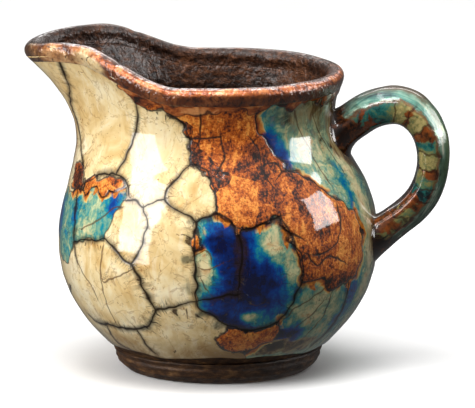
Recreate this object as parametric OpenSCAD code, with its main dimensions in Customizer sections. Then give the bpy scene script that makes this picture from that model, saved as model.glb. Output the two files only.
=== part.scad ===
// Cream jug: a thrown clay body with a drawn pouring spout, coiled lip and rim,
// a turned foot ring and a pulled loop handle luted on with two clay joints.
// Units are millimetres. +Z is up, the handle points to +X and the spout to -X.
// The origin is the centre of the foot ring on the table.

/* [Body] */
// Widest diameter of the belly
belly_d = 90; // [76:1:110]
// Height of the widest line of the belly above the foot ring
belly_rise = 30.5; // [24:0.5:40]
// Diameter of the neck at its waist
neck_d = 66; // [54:0.5:76]
// Height of the waist of the neck above the widest line of the belly
neck_rise = 36; // [30:0.5:46]
// Diameter of the wall at the mouth
mouth_d = 69.5; // [58:0.5:82]
// Height of the wall at the mouth above the waist of the neck, away from the spout
mouth_rise = 8.5; // [6:0.5:14]
// Thickness of the wall
wall = 4; // [3:0.1:5.5]
// Thickness of the floor
floor_t = 5; // [3:0.5:8]

/* [Spout] */
// How far below the mouth the wall starts to be drawn out
spout_depth = 33; // [24:0.5:40]
// How far the narrow nose of the spout is drawn out
nose_pull = 11; // [6:0.5:16]
// Angle from the middle of the spout to the side of its nose
nose_angle = 30; // [24:1:40]
// How far the broad base of the spout is drawn out
shoulder_pull = 8; // [4:0.5:12]
// Angle from the middle of the spout to the side of its base
shoulder_angle = 95; // [75:1:110]
// How far the sides of the spout rise above the mouth
spout_rise = 9; // [5:0.5:15]
// Angle from the middle of the spout to where its sides stop rising
crest_angle = 25; // [18:1:34]
// Angle from the middle of the spout to where the level mouth starts
level_angle = 76; // [65:1:95]
// How far the tip of the spout dips below its sides
tip_dip = 2; // [0:0.5:5]
// Angle from the middle of the spout to where the dip ends
dip_angle = 20; // [14:1:24]

/* [Rim] */
// How far the coil of clay on the edge stands proud of each side of the wall
coil_lap = 0.5; // [0.3:0.1:1]
// Facets of the edge on each side of the tip that the spout's own lip covers
lip_facets = 17; // [10:1:24]

/* [Foot] */
// Diameter of the foot ring where it meets the body
foot_d = 58.5; // [48:0.5:66]
// Height of the foot ring
foot_h = 6; // [4:0.5:9]
// How far the foot ring narrows towards the table
foot_taper = 0.5; // [0:0.1:1.5]
// Radius of the outer edge of the foot ring at the table
foot_round = 5; // [2:0.5:5.5]
// Width of the flat ring that the foot rests on
rest_w = 2.75; // [1.5:0.25:4]
// Radius of the inner edge of the foot ring at the table
recess_round = 1; // [0.5:0.1:1.5]

/* [Handle] */
// Width of the handle, across the hand
handle_w = 13; // [10:0.5:16]
// Thickness of the handle from its widest point down to the belly
handle_t = 9.5; // [7:0.5:11]
// Thickness of the handle from the neck to the top of the loop
upper_t = 11; // [8.5:0.5:12.5]
// How far the outside of the loop stands out from the belly
handle_reach = 20; // [16:0.5:28]
// How far the top of the loop lies below the mouth
crest_drop = 0.5; // [-2:0.5:4]
// How far the top of the loop lies out from the waist of the neck
crest_out = 16.5; // [14:0.5:20]
// How far the widest point of the loop lies below its top
widest_drop = 14; // [11:0.5:18]
// How far the middle of the upper joint lies below the mouth
upper_joint_drop = 13.5; // [11:0.5:17]
// How far the middle of the lower joint lies above the widest line of the belly
lower_joint_rise = 1.5; // [-2:0.5:5]
// Angle above the horizontal at which the handle leaves the neck
upper_lift = 35; // [20:1:45]
// Angle below the horizontal at which the handle reaches the belly
lower_fall = 40; // [25:1:50]

/* [Handle joints] */
// Height of the clay joint where it is smoothed onto the body
joint_h = 15; // [13.5:0.5:18]
// Width of the clay joint where it is smoothed onto the body
joint_w = 17; // [16:0.5:20]
// Length of the clay joint along the handle
joint_l = 6; // [4.5:0.5:8]

/* [Hidden] */

// Facets around the body, and how strongly they crowd towards the tip of the spout
facets = 80;
crowding = 0.55;
// Rows of facets on each curve of the wall
lower_rows = 8;
upper_rows = 9;
lip_rows = 4;
// Facets around the coil on the edge
coil_facets = 14;
// Facets around and along the handle, and along each joint
handle_facets = 24;
handle_rows = 12;
joint_rows = 6;
seat_rows = 3;
// Facets on each rounded edge of the foot ring
round_facets = 8;

// Fullness of the curves of the wall, as shares of each curve's own height or width
foot_flare = [0.605, 0.27];
belly_low = 0.42;
belly_high = 0.57;
neck_low = 0.33;
neck_high = 0.4;
lip_lean = [0.5, 0.35];
floor_flat = 0.73;
floor_belly = 0.75;
// Powers that shape how the spout is drawn out and raised towards its edge
draw_power = 1.9;
raise_power = 2;
// Fullness of the curves of the handle
leave_share = 0.4;
crest_share = 0.55;
down_share = 0.58;
reach_share = 0.7;
// Power of the rounded section of the handle, where 2 is an ellipse
section_power = 2.5;
// Halvings used to find a height on a curve
halvings = 24;

// Heights and radii of the wall
belly_z = foot_h + belly_rise;
neck_z = belly_z + neck_rise;
mouth_z = neck_z + mouth_rise;
floor_z = foot_h + floor_t;
spout_root_z = mouth_z - spout_depth;
belly_r = belly_d / 2;
neck_r = neck_d / 2;
mouth_r = mouth_d / 2;
foot_r = foot_d / 2;

// Radii of the flat ring that the foot rests on, and of the recess inside it
rest_outer_r = foot_r - foot_taper - foot_round;
rest_inner_r = rest_outer_r - rest_w;
recess_r = rest_inner_r - recess_round;

// Radius of the coil on the edge, and how far its middle lies above the wall it sits on
coil_r = wall / 2 + coil_lap;
coil_lift = sqrt(coil_r * coil_r - wall * wall / 4);

// Point at share t of a cubic curve
function bezier(c, t) =
    let (s = 1 - t)
    c[0] * s * s * s + 3 * c[1] * s * s * t + 3 * c[2] * s * t * t + c[3] * t * t * t;
// Direction of a cubic curve at share t
function bezier_way(c, t) =
    let (s = 1 - t, v = (c[1] - c[0]) * s * s + 2 * (c[2] - c[1]) * s * t + (c[3] - c[2]) * t * t)
    v / norm(v);
// Points along a cubic curve from step first to step n of n
function curve_points(c, n, first = 0) = [for (i = [first:n]) bezier(c, i / n)];
// Points of a list in reverse order
function reversed(list) = [for (i = [len(list) - 1:-1:0]) list[i]];
// Share of a rising curve at which its second coordinate reaches z
function share_at(c, z, low = 0, high = 1, left = halvings) =
    let (middle = (low + high) / 2)
    left == 0 ? middle
    : bezier(c, middle)[1] < z ? share_at(c, z, middle, high, left - 1)
    : share_at(c, z, low, middle, left - 1);

// Curves of the outside of the wall, as [radius, height]
foot_to_belly = [
    [foot_r, foot_h],
    [foot_r + foot_flare[0] * (belly_r - foot_r), foot_h + foot_flare[1] * belly_rise],
    [belly_r, belly_z - belly_low * belly_rise],
    [belly_r, belly_z]
];
belly_to_neck = [
    [belly_r, belly_z],
    [belly_r, belly_z + belly_high * neck_rise],
    [neck_r, neck_z - neck_low * neck_rise],
    [neck_r, neck_z]
];
neck_to_mouth = [
    [neck_r, neck_z],
    [neck_r, neck_z + neck_high * mouth_rise],
    [mouth_r - lip_lean[0] * (mouth_r - neck_r), mouth_z - lip_lean[1] * mouth_rise],
    [mouth_r, mouth_z]
];

// Curves of the inside of the wall
function inside(curve) = [for (p = curve) [p[0] - wall, p[1]]];
floor_to_belly = [
    [0, floor_z],
    [floor_flat * (belly_r - wall), floor_z],
    [belly_r - wall, belly_z - floor_belly * (belly_z - floor_z)],
    [belly_r - wall, belly_z]
];

outer_profile = concat(
    curve_points(foot_to_belly, lower_rows),
    curve_points(belly_to_neck, upper_rows, 1),
    curve_points(neck_to_mouth, lip_rows, 1)
);
inner_profile = concat(
    curve_points(floor_to_belly, lower_rows, 1),
    curve_points(inside(belly_to_neck), upper_rows, 1),
    curve_points(inside(neck_to_mouth), lip_rows, 1)
);

// Radius of the round outside of the wall at a height
function outer_r(z) =
    let (c = z < belly_z ? foot_to_belly : z < neck_z ? belly_to_neck : neck_to_mouth)
    bezier(c, share_at(c, z))[0];

// Angle of a facet corner, measured from the middle of the spout
function facet_angle(i) = let (a = 360 * i / facets) a - crowding * sin(a) * 180 / PI;
// Smooth hump that is 1 in the middle of the spout and 0 from the angle half onwards
function hump(a, half) = abs(a) < half ? (1 + cos(180 * a / half)) / 2 : 0;
// Smooth step from 0 to 1
function smooth(t) = let (s = min(1, max(0, t))) s * s * (3 - 2 * s);
// How far the edge is drawn out and raised at an angle
function pull(a) = nose_pull * hump(a, nose_angle) + shoulder_pull * hump(a, shoulder_angle);
function rise(a) =
    let (level = smooth((abs(a) - crest_angle) / (level_angle - crest_angle)))
    spout_rise * (1 - level) - tip_dip * hump(a, dip_angle);

// A profile point after the spout is drawn out, as [radius, height]
function drawn(p, angle) =
    let (a = angle > 180 ? angle - 360 : angle, up = max(0, (p[1] - spout_root_z) / spout_depth))
    [p[0] + pull(a) * pow(up, draw_power), p[1] + rise(a) * pow(up, raise_power)];
// A [radius, height] point turned to an angle from the spout
function turned(p, angle) = [-p[0] * cos(angle), p[0] * sin(angle), p[1]];
// The ring of wall corners made by one profile point
function wall_ring(p) = [for (i = [0:facets - 1]) turned(drawn(p, facet_angle(i)), facet_angle(i))];

// Middle of the coil on the edge at an angle, as [radius, height]
function coil_middle(angle) = drawn([mouth_r, mouth_z], angle) + [-wall / 2, coil_lift];
// Angle of the coil's section where it leaves the outside of the wall, below its middle
coil_seat_angle = asin(coil_lift / coil_r);
// The section of the coil at an angle, from the inside of the wall over the top to the outside
function coil_section(angle) = [
    for (i = [0:coil_facets])
        let (a = 180 + coil_seat_angle - i * (180 + 2 * coil_seat_angle) / coil_facets)
        turned(coil_middle(angle) + coil_r * [cos(a), sin(a)], angle)
];

// Curves of the middle of the handle in the XZ plane
upper_root = [outer_r(mouth_z - upper_joint_drop), mouth_z - upper_joint_drop];
lower_root = [outer_r(belly_z + lower_joint_rise), belly_z + lower_joint_rise];
crest = [neck_r + crest_out, mouth_z - crest_drop - upper_t / 2];
widest = [belly_r + handle_reach - handle_t / 2, crest[1] - widest_drop];
leave_l = leave_share * (crest[0] - upper_root[0]);
reach_l = reach_share * (widest[0] - lower_root[0]);
neck_to_crest = [
    upper_root,
    upper_root + leave_l * [cos(upper_lift), sin(upper_lift)],
    crest - [leave_l, 0],
    crest
];
crest_to_widest = [
    crest,
    crest + [crest_share * (widest[0] - crest[0]), 0],
    widest + [0, crest_share * (crest[1] - widest[1])],
    widest
];
widest_to_belly = [
    widest,
    widest - [0, down_share * (widest[1] - lower_root[1])],
    lower_root + reach_l * [cos(lower_fall), sin(lower_fall)],
    lower_root
];
// Shares of the first and last curve that the two joints cover
upper_share = joint_l / norm(crest - upper_root);
lower_share = 1 - joint_l / norm(widest - lower_root);
// Middles of the two ends of the handle
upper_end = bezier(neck_to_crest, upper_share);
lower_end = bezier(widest_to_belly, lower_share);
// A point of the XZ plane in space
function upright(p) = [p[0], 0, p[1]];

// Rounded section of the handle at a step around it, as [across, along Y]
function rounded(c) = sign(c) * pow(abs(c), 2 / section_power);
function handle_corner(i, thick) =
    let (a = 360 * i / handle_facets)
    [thick / 2 * rounded(sin(a)), handle_w / 2 * rounded(cos(a))];
// The ring of handle corners at share t of a curve
function handle_ring(c, t, thick) =
    let (p = bezier(c, t), way = bezier_way(c, t), across = [-way[1], way[0]])
    [
        for (i = [0:handle_facets - 1])
            let (corner = handle_corner(i, thick), q = p + corner[0] * across)
            [q[0], corner[1], q[1]]
    ];

// A point on the round outside of the wall, on the handle's side
function on_wall(y, z) = [sqrt(pow(outer_r(z), 2) - y * y), y, z];
// A ring of a joint's seat on the wall, where share 1 is its edge
function seat_ring(root, turn, share = 1) = [
    for (i = [0:handle_facets - 1])
        let (a = 360 * i / handle_facets)
        on_wall(share * joint_w / 2 * cos(a), root[1] + turn * share * joint_h / 2 * sin(a))
];
// Rings of a joint from the end of the handle, along the way to the wall, and over its seat
function joint_rings(ring, way, root, turn) =
    let (edge = seat_ring(root, turn), lead = joint_l * [way[0], 0, way[1]])
    concat(
        [
            for (j = [0:joint_rows])
                let (t = j / joint_rows, s = 1 - t)
                [for (i = [0:len(ring) - 1]) ring[i] * s * s + 2 * (ring[i] + lead) * s * t + edge[i] * t * t]
        ],
        [for (j = [seat_rows - 1:-1:1]) seat_ring(root, turn, j / seat_rows)]
    );

// A closed solid through rings of corners, with a fan to a point at each end
module lofted(rings, start, end) {
    n = len(rings[0]);
    last = len(rings) - 1;
    function at(j, i) = 1 + j * n + i % n;
    end_at = 1 + len(rings) * n;
    polyhedron(
        concat([start], [for (r = rings) each r], [end]),
        concat(
            [for (i = [0:n - 1]) [0, at(0, i + 1), at(0, i)]],
            [for (j = [0:last - 1], i = [0:n - 1]) [at(j, i), at(j, i + 1), at(j + 1, i + 1)]],
            [for (j = [0:last - 1], i = [0:n - 1]) [at(j, i), at(j + 1, i + 1), at(j + 1, i)]],
            [for (i = [0:n - 1]) [end_at, at(last, i), at(last, i + 1)]]
        )
    );
}

// A length of the coil on the edge, from one facet corner to another
module coil(first, last) {
    sections = [for (i = [first:last]) coil_section(facet_angle(i % facets))];
    function middle(i) = turned(coil_middle(facet_angle(i % facets)), facet_angle(i % facets));
    lofted(sections, middle(first), middle(last));
}

// Thrown clay wall with its floor and its drawn spout
module body() {
    color("wheat")
        lofted(
            [for (p = concat(outer_profile, reversed(inner_profile))) wall_ring(p)],
            [0, 0, foot_h],
            [0, 0, floor_z]
        );
}

// Coil of clay along the edge of the spout
module spout_lip() {
    color("tan") coil(facets - lip_facets, facets + lip_facets);
}

// Coil of clay round the rest of the mouth
module rim_coil() {
    color("sienna") coil(lip_facets, facets - lip_facets);
}

// Points of a quarter circle that starts at an angle
function quarter(middle, r, from) = [
    for (i = [0:round_facets])
        let (a = from + 90 * i / round_facets)
        middle + r * [cos(a), sin(a)]
];

// Turned ring of bare clay under the floor
module foot_ring() {
    color("saddlebrown")
        rotate_extrude($fn = 128)
            polygon(concat(
                [[recess_r, foot_h]],
                quarter([rest_inner_r, recess_round], recess_round, 180),
                quarter([rest_outer_r, foot_round], foot_round, 270),
                [[foot_r, foot_h]]
            ));
}

// Pulled loop of clay between the two joints
module handle() {
    steps = [for (i = [0:handle_rows]) i / handle_rows];
    later = [for (i = [1:handle_rows]) i / handle_rows];
    rings = concat(
        [for (t = steps) handle_ring(neck_to_crest, upper_share + (1 - upper_share) * t, upper_t)],
        [for (t = later) handle_ring(crest_to_widest, t, upper_t + (handle_t - upper_t) * smooth(t))],
        [for (t = later) handle_ring(widest_to_belly, lower_share * t, handle_t)]
    );
    color("cadetblue") lofted(reversed(rings), upright(lower_end), upright(upper_end));
}

// Clay smoothed between the handle and the neck
module upper_handle_joint() {
    end_ring = handle_ring(neck_to_crest, upper_share, upper_t);
    way = -bezier_way(neck_to_crest, upper_share);
    color("darkslategray")
        lofted(joint_rings(end_ring, way, upper_root, 1), upright(upper_end), on_wall(0, upper_root[1]));
}

// Clay smoothed between the handle and the belly
module lower_handle_joint() {
    end_ring = handle_ring(widest_to_belly, lower_share, handle_t);
    way = bezier_way(widest_to_belly, lower_share);
    rings = reversed(joint_rings(end_ring, way, lower_root, -1));
    color("darkslategray") lofted(rings, on_wall(0, lower_root[1]), upright(lower_end));
}

body();
spout_lip();
rim_coil();
foot_ring();
handle();
upper_handle_joint();
lower_handle_joint();
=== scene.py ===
import math
from types import SimpleNamespace

import bpy
import numpy as np
from mathutils import Matrix, Vector


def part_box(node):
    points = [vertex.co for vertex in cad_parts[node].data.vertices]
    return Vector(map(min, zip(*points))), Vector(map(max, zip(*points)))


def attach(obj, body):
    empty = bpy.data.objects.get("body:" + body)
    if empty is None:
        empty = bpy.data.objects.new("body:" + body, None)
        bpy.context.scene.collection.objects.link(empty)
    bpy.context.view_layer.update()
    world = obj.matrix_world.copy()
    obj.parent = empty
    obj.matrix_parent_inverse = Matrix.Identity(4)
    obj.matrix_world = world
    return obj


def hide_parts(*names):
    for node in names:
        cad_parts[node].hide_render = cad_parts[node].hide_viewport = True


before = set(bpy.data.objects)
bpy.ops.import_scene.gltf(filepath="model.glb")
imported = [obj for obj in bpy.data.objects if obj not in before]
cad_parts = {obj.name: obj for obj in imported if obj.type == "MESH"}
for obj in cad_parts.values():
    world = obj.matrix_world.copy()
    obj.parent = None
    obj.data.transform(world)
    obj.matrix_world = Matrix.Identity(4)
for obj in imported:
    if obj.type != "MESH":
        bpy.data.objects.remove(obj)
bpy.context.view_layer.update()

# Lengths below are in millimetres, angles in degrees, unless a name says otherwise.
MM = 0.001


def node_box(node):
    """Lowest and highest corner of a CAD node."""
    low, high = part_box(node)
    return np.array(low) / MM, np.array(high) / MM


# Wall of the body
FOOT_R = node_box("foot_ring")[1][0]
FOOT_H = node_box("foot_ring")[1][2]
BELLY_R = node_box("body")[1][0]
BELLY_RISE, NECK_RISE, MOUTH_RISE = 30.5, 36.0, 8.5
BELLY_Z = FOOT_H + BELLY_RISE
NECK_R, NECK_Z = 33.0, BELLY_Z + NECK_RISE
MOUTH_R, MOUTH_Z = 34.75, NECK_Z + MOUTH_RISE
WALL, FLOOR_Z = 4.0, FOOT_H + 5.0
# Spout, with angles from its middle
SPOUT_DEPTH, SPOUT_RISE, TIP_DIP = 33.0, 9.0, 2.0
NOSE_PULL, NOSE_ANGLE = 11.0, 30.0
SHOULDER_PULL, SHOULDER_ANGLE = 8.0, 95.0
CREST_ANGLE, LEVEL_ANGLE, DIP_ANGLE = 25.0, 76.0, 20.0
PULL_POWER, RISE_POWER = 1.9, 2
# Coil on the edge: it wraps past level on both sides, bulges over its seat and is pinched at its ends
COIL_R, COIL_LIFT, COIL_SKIRT, COIL_WRAP = 2.5, 1.5, 1.0, 15.0
COIL_BULGE, COIL_SHY = 0.15, 0.1
PINCH, PINCH_LENGTH, COIL_ARC = 0.1, 1.3, 0.6
CORE_INSET, CORE_SINK = 0.8, 0.2
FILLET_SIDE = 1.3
LIP_ANGLE = 45.9
# Foot ring
REST_OUTER_R, REST_INNER_R = 23.75, 21.0
FOOT_ROUND, RECESS_ROUND = 5.0, 1.0
FOOT_SHY, REST_BAND, SEAT_BAND = 0.14, 0.35, 0.1
# Handle and its joints
HANDLE_W, HANDLE_T, UPPER_T = 13.0, 9.5, 11.0
CREST = np.array([49.5, 75.0])
WIDEST = np.array([60.25, 61.0])
UPPER_ROOT_Z, LOWER_ROOT_Z = 67.5, 38.0
UPPER_LIFT, LOWER_FALL = 35.0, 40.0
LEAVE_SHARE, TURN_SHARE, DROP_SHARE, REACH_SHARE = 0.4, 0.55, 0.58, 0.7
JOINT_H, JOINT_W, JOINT_L, ROOT_DEPTH = 15.0, 17.0, 6.0, 1.5
HANDLE_SHY, HANDLE_LENGTH = 0.2, 66.3
# The handle's section is squarer than an oval, and its back is bevelled to a soft ridge
SQUARENESS = 0.8
RIDGE_AT, RIDGE_SLOPE, RIDGE_SHARP = 0.3, 0.92, 9.0
# Glaze: the arc of one degree of turn on the wall, the depths of the glaze and the widths of its steps
ARC = 40 * math.pi / 180
SKIN, COPPER_LIFT, BARE_DROP, DEEPEST = 0.3, 0.22, 0.28, -0.5
COPPER_STEP, BARE_STEP = 0.9, 0.7
COLLAR_H, COLLAR_SLOPE = 2.5, 0.6
BUMP = 0.8
# Lower edge of the glaze: height over the foot, its tilt, and waves of (height, count, shift)
GLAZE_LINE, GLAZE_TILT = 1.35, 0.75
GLAZE_WAVES = (0.35, 5, 0.4), (0.3, 9, 2), (0.15, 17, 0)
# Tapering marks: half widths at the start, taper, and reach in half widths
BARB_W, FLAME_W, TAPER_FROM, MARK_REACH = 0.34, 1.8, 1.08, 4
# How far apart the places along different cracks and groups of cracks are counted
LINE_APART, GROUP_APART = 100, 2000
# Limits of the fields that say how deep a point lies in a patch, and how far above the glaze's lower edge
ZONE_LIMITS, GLAZED_LIMITS = (-9, 9), (-4, 12)
# Rings left by throwing and turning: distance from ring to ring, and height
THROWN_PITCH, THROWN_H = 6.5, 0.035
INSIDE_PITCH, INSIDE_H = 5.2, 0.16
TURNED_PITCH, TURNED_H = 1.7, 0.07
# The inside is smooth in the middle of the floor, and in a band below the mouth
FADE_R, QUIET_SHARE, MOUTH_BAND = 30, 0.2, 4
# Unevenness: size of its waves, height, seed
ARC_WANDER = (9, 0.45, 1), (3.5, 0.2, 2)
HEIGHT_WANDER = (9, 0.45, 3), (3.5, 0.2, 4)
ARC_FRAY = ((4, 0.5, 5),)
HEIGHT_FRAY = ((4, 0.5, 6),)
COLLAR_RAGS = (9, 1.3, 7), (3, 0.5, 8)
WALL_WAVES = ((16, 0.06, 11),)
RING_WANDER = ((30, 1.0, 12),)
INSIDE_WAVES = ((9, 0.6, 13),)
COIL_LUMPS = ((13, 0.1, 21),)
FOOT_WEAR = ((7, 0.1, 31),)
BAND_WANDER = (12, 1.3, 41), (4, 0.5, 42)
HANDLE_LUMPS = (14, 0.12, 43), (5, 0.05, 44)
# Mesh fineness
AROUND, OUTER_ROWS, INNER_ROWS, UNDER_ROWS = 384, 152, 66, 14
LIP_STEPS, RIM_STEPS, COIL_AROUND = 160, 300, 44
FOOT_ROWS, FOOT_AROUND, QUARTER_STEPS = 70, 240, 14
HANDLE_ROWS, JOINT_ROWS, HANDLE_AROUND, CURVE_STEPS = 150, 34, 96, 400
FADE_ROWS, JOINT_FADE_ROWS = 6, 12
HANDLE_TURNS = -np.linspace(0, 2 * np.pi, HANDLE_AROUND, endpoint=False)


# Curves

def bezier(c, t):
    c = np.asarray(c, float)
    t = np.asarray(t, float)[..., None]
    s = 1 - t
    return c[0] * s**3 + 3 * c[1] * s * s * t + 3 * c[2] * s * t * t + c[3] * t**3


def curve(*pieces):
    """Many points along cubic curves that follow each other."""
    t = np.linspace(0, 1, CURVE_STEPS)
    return np.concatenate([bezier(c, t[min(k, 1):]) for k, c in enumerate(pieces)])


def lengths(points):
    return np.r_[0, np.cumsum(np.linalg.norm(np.diff(points, axis=0), axis=1))]


def even(points, count):
    """The same line with its points spread evenly along it."""
    steps = lengths(points)
    wanted = np.linspace(0, steps[-1], count)
    return np.stack([np.interp(wanted, steps, column) for column in points.T], 1)


def smooth(t):
    s = np.clip(t, 0, 1)
    return s * s * (3 - 2 * s)


def hump(a, half):
    return np.where(np.abs(a) < half, (1 + np.cos(np.pi * a / half)) / 2, 0)


def ripple(points, size, seed):
    """A smooth seeded wander of about -1 to 1, in waves of about the given size."""
    dice = np.random.default_rng(seed)
    total = np.zeros(points.shape[:-1])
    for _ in range(8):
        way = dice.normal(size=3)
        wave = size * dice.uniform(0.7, 1.4) * np.linalg.norm(way)
        total += np.sin(points @ way * (2 * np.pi / wave) + dice.uniform(0, 2 * np.pi))
    return total / 3


def uneven(points, waves, level=0.0):
    """A level with ripples of given sizes, heights and seeds on it."""
    return sum((height * ripple(points, size, seed) for size, height, seed in waves), level)


FOOT_TO_BELLY = [
    (FOOT_R, FOOT_H),
    (FOOT_R + 0.605 * (BELLY_R - FOOT_R), FOOT_H + 0.27 * BELLY_RISE),
    (BELLY_R, BELLY_Z - 0.42 * BELLY_RISE),
    (BELLY_R, BELLY_Z),
]
BELLY_TO_NECK = [
    (BELLY_R, BELLY_Z),
    (BELLY_R, BELLY_Z + 0.57 * NECK_RISE),
    (NECK_R, NECK_Z - 0.33 * NECK_RISE),
    (NECK_R, NECK_Z),
]
NECK_TO_MOUTH = [
    (NECK_R, NECK_Z),
    (NECK_R, NECK_Z + 0.4 * MOUTH_RISE),
    (MOUTH_R - 0.5 * (MOUTH_R - NECK_R), MOUTH_Z - 0.35 * MOUTH_RISE),
    (MOUTH_R, MOUTH_Z),
]
FLOOR_TO_BELLY = [
    (0, FLOOR_Z),
    (0.73 * (BELLY_R - WALL), FLOOR_Z),
    (BELLY_R - WALL, BELLY_Z - 0.75 * (BELLY_Z - FLOOR_Z)),
    (BELLY_R - WALL, BELLY_Z),
]
OUTER = curve(FOOT_TO_BELLY, BELLY_TO_NECK, NECK_TO_MOUTH)
INNER = curve(
    FLOOR_TO_BELLY,
    [(r - WALL, z) for r, z in BELLY_TO_NECK],
    [(r - WALL, z) for r, z in NECK_TO_MOUTH],
)


def outer_r(z):
    """Radius of the round outside of the wall at a height."""
    return np.interp(z, OUTER[:, 1], OUTER[:, 0])


def drawn(r, z, a):
    """Radius and height of a wall point after the spout is drawn out, at angle a from it."""
    a = (np.asarray(a) + 180) % 360 - 180
    up = np.maximum(0, (z - MOUTH_Z + SPOUT_DEPTH) / SPOUT_DEPTH)
    pull = NOSE_PULL * hump(a, NOSE_ANGLE) + SHOULDER_PULL * hump(a, SHOULDER_ANGLE)
    level = smooth((np.abs(a) - CREST_ANGLE) / (LEVEL_ANGLE - CREST_ANGLE))
    rise = SPOUT_RISE * (1 - level) - TIP_DIP * hump(a, DIP_ANGLE)
    return r + pull * up**PULL_POWER, z + rise * up**RISE_POWER


def turned(r, z, a):
    """A point in space from its radius, height and angle from the spout."""
    a = np.radians(a)
    return np.stack(np.broadcast_arrays(-r * np.cos(a), r * np.sin(a), z), -1)


def around(count, crowding=0.3):
    """Angles round the body from the spout, closer together near it."""
    a = np.linspace(0, 360, count, endpoint=False)
    return a - crowding * np.degrees(np.sin(np.radians(a)))


# Meshes

def rolled(rings, start=None, end=None):
    """Corners and faces of a surface through closed rings, with an optional point at each end."""
    rows, n = rings.shape[:2]
    corners = [rings.reshape(-1, 3)]
    j, i = np.meshgrid(np.arange(rows - 1), np.arange(n), indexing="ij")
    k = (i + 1) % n
    quads = np.stack([j * n + i, (j + 1) * n + i, (j + 1) * n + k, j * n + k], -1).reshape(-1, 4)
    faces = quads.tolist()
    ring = np.arange(n)
    if start is not None:
        faces += [[rows * n, int(b), int((b + 1) % n)] for b in ring]
        corners.append(np.reshape(start, (1, 3)))
    if end is not None:
        at = rows * n + (start is not None)
        last = (rows - 1) * n
        faces += [[at, int(last + (b + 1) % n), int(last + b)] for b in ring]
        corners.append(np.reshape(end, (1, 3)))
    return np.concatenate(corners), faces


def ring_normals(rings):
    """Outward directions of a surface through closed rings, one for each corner."""
    along = np.gradient(rings, axis=0)
    across = np.roll(rings, -1, 1) - np.roll(rings, 1, 1)
    out = np.cross(along, across)
    return out / np.maximum(np.linalg.norm(out, axis=-1, keepdims=True), 1e-12)


def piece(node, corners, faces, materials, fields=None, first=0, normals=None, faces_of=None):
    """A visible piece in place of a CAD node, with fields that start at its corner number first."""
    mesh = bpy.data.meshes.new(node + "_look")
    mesh.from_pydata((corners * MM).tolist(), [], faces)
    mesh.polygons.foreach_set("use_smooth", np.ones(len(mesh.polygons), bool))
    for material in materials:
        mesh.materials.append(material)
    if faces_of is not None:
        mesh.polygons.foreach_set("material_index", faces_of)
    for name, values in (fields or {}).items():
        full = np.zeros((len(corners), 3), np.float32)
        full[first:first + len(values)] = values
        mesh.attributes.new(name, "FLOAT_VECTOR", "POINT").data.foreach_set("vector", full.ravel())
    mesh.validate()
    mesh.update()
    if normals is not None:
        mesh.normals_split_custom_set_from_vertices(normals.tolist())
    made = bpy.data.objects.new(node + "_look", mesh)
    bpy.context.scene.collection.objects.link(made)
    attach(made, "root")
    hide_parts(node)


# Layout of the glaze on the body in points of (turn, height), where turn is 0 at the front, 90 at the handle
# and -90 at the spout. First the borders that more than one list shares.

SHOULDER_EDGE = [(-42, 86.5), (-37, 81.5), (-29, 79)]
NECK_EDGE = [(-20, 78), (-12, 75), (-9, 69), (-9, 64)]
SHARD_EDGE = [(-5, 63.5), (0, 62), (2, 59.5), (4, 56.5), (4, 52)]
POOL_EDGE = [(-4, 49), (-4, 45), (-4, 38), (-4, 31.5), (-4, 27)]
FAR_EDGE = [(204, 44), (200, 54), (192, 60), (186, 68), (182, 79)]
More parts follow.
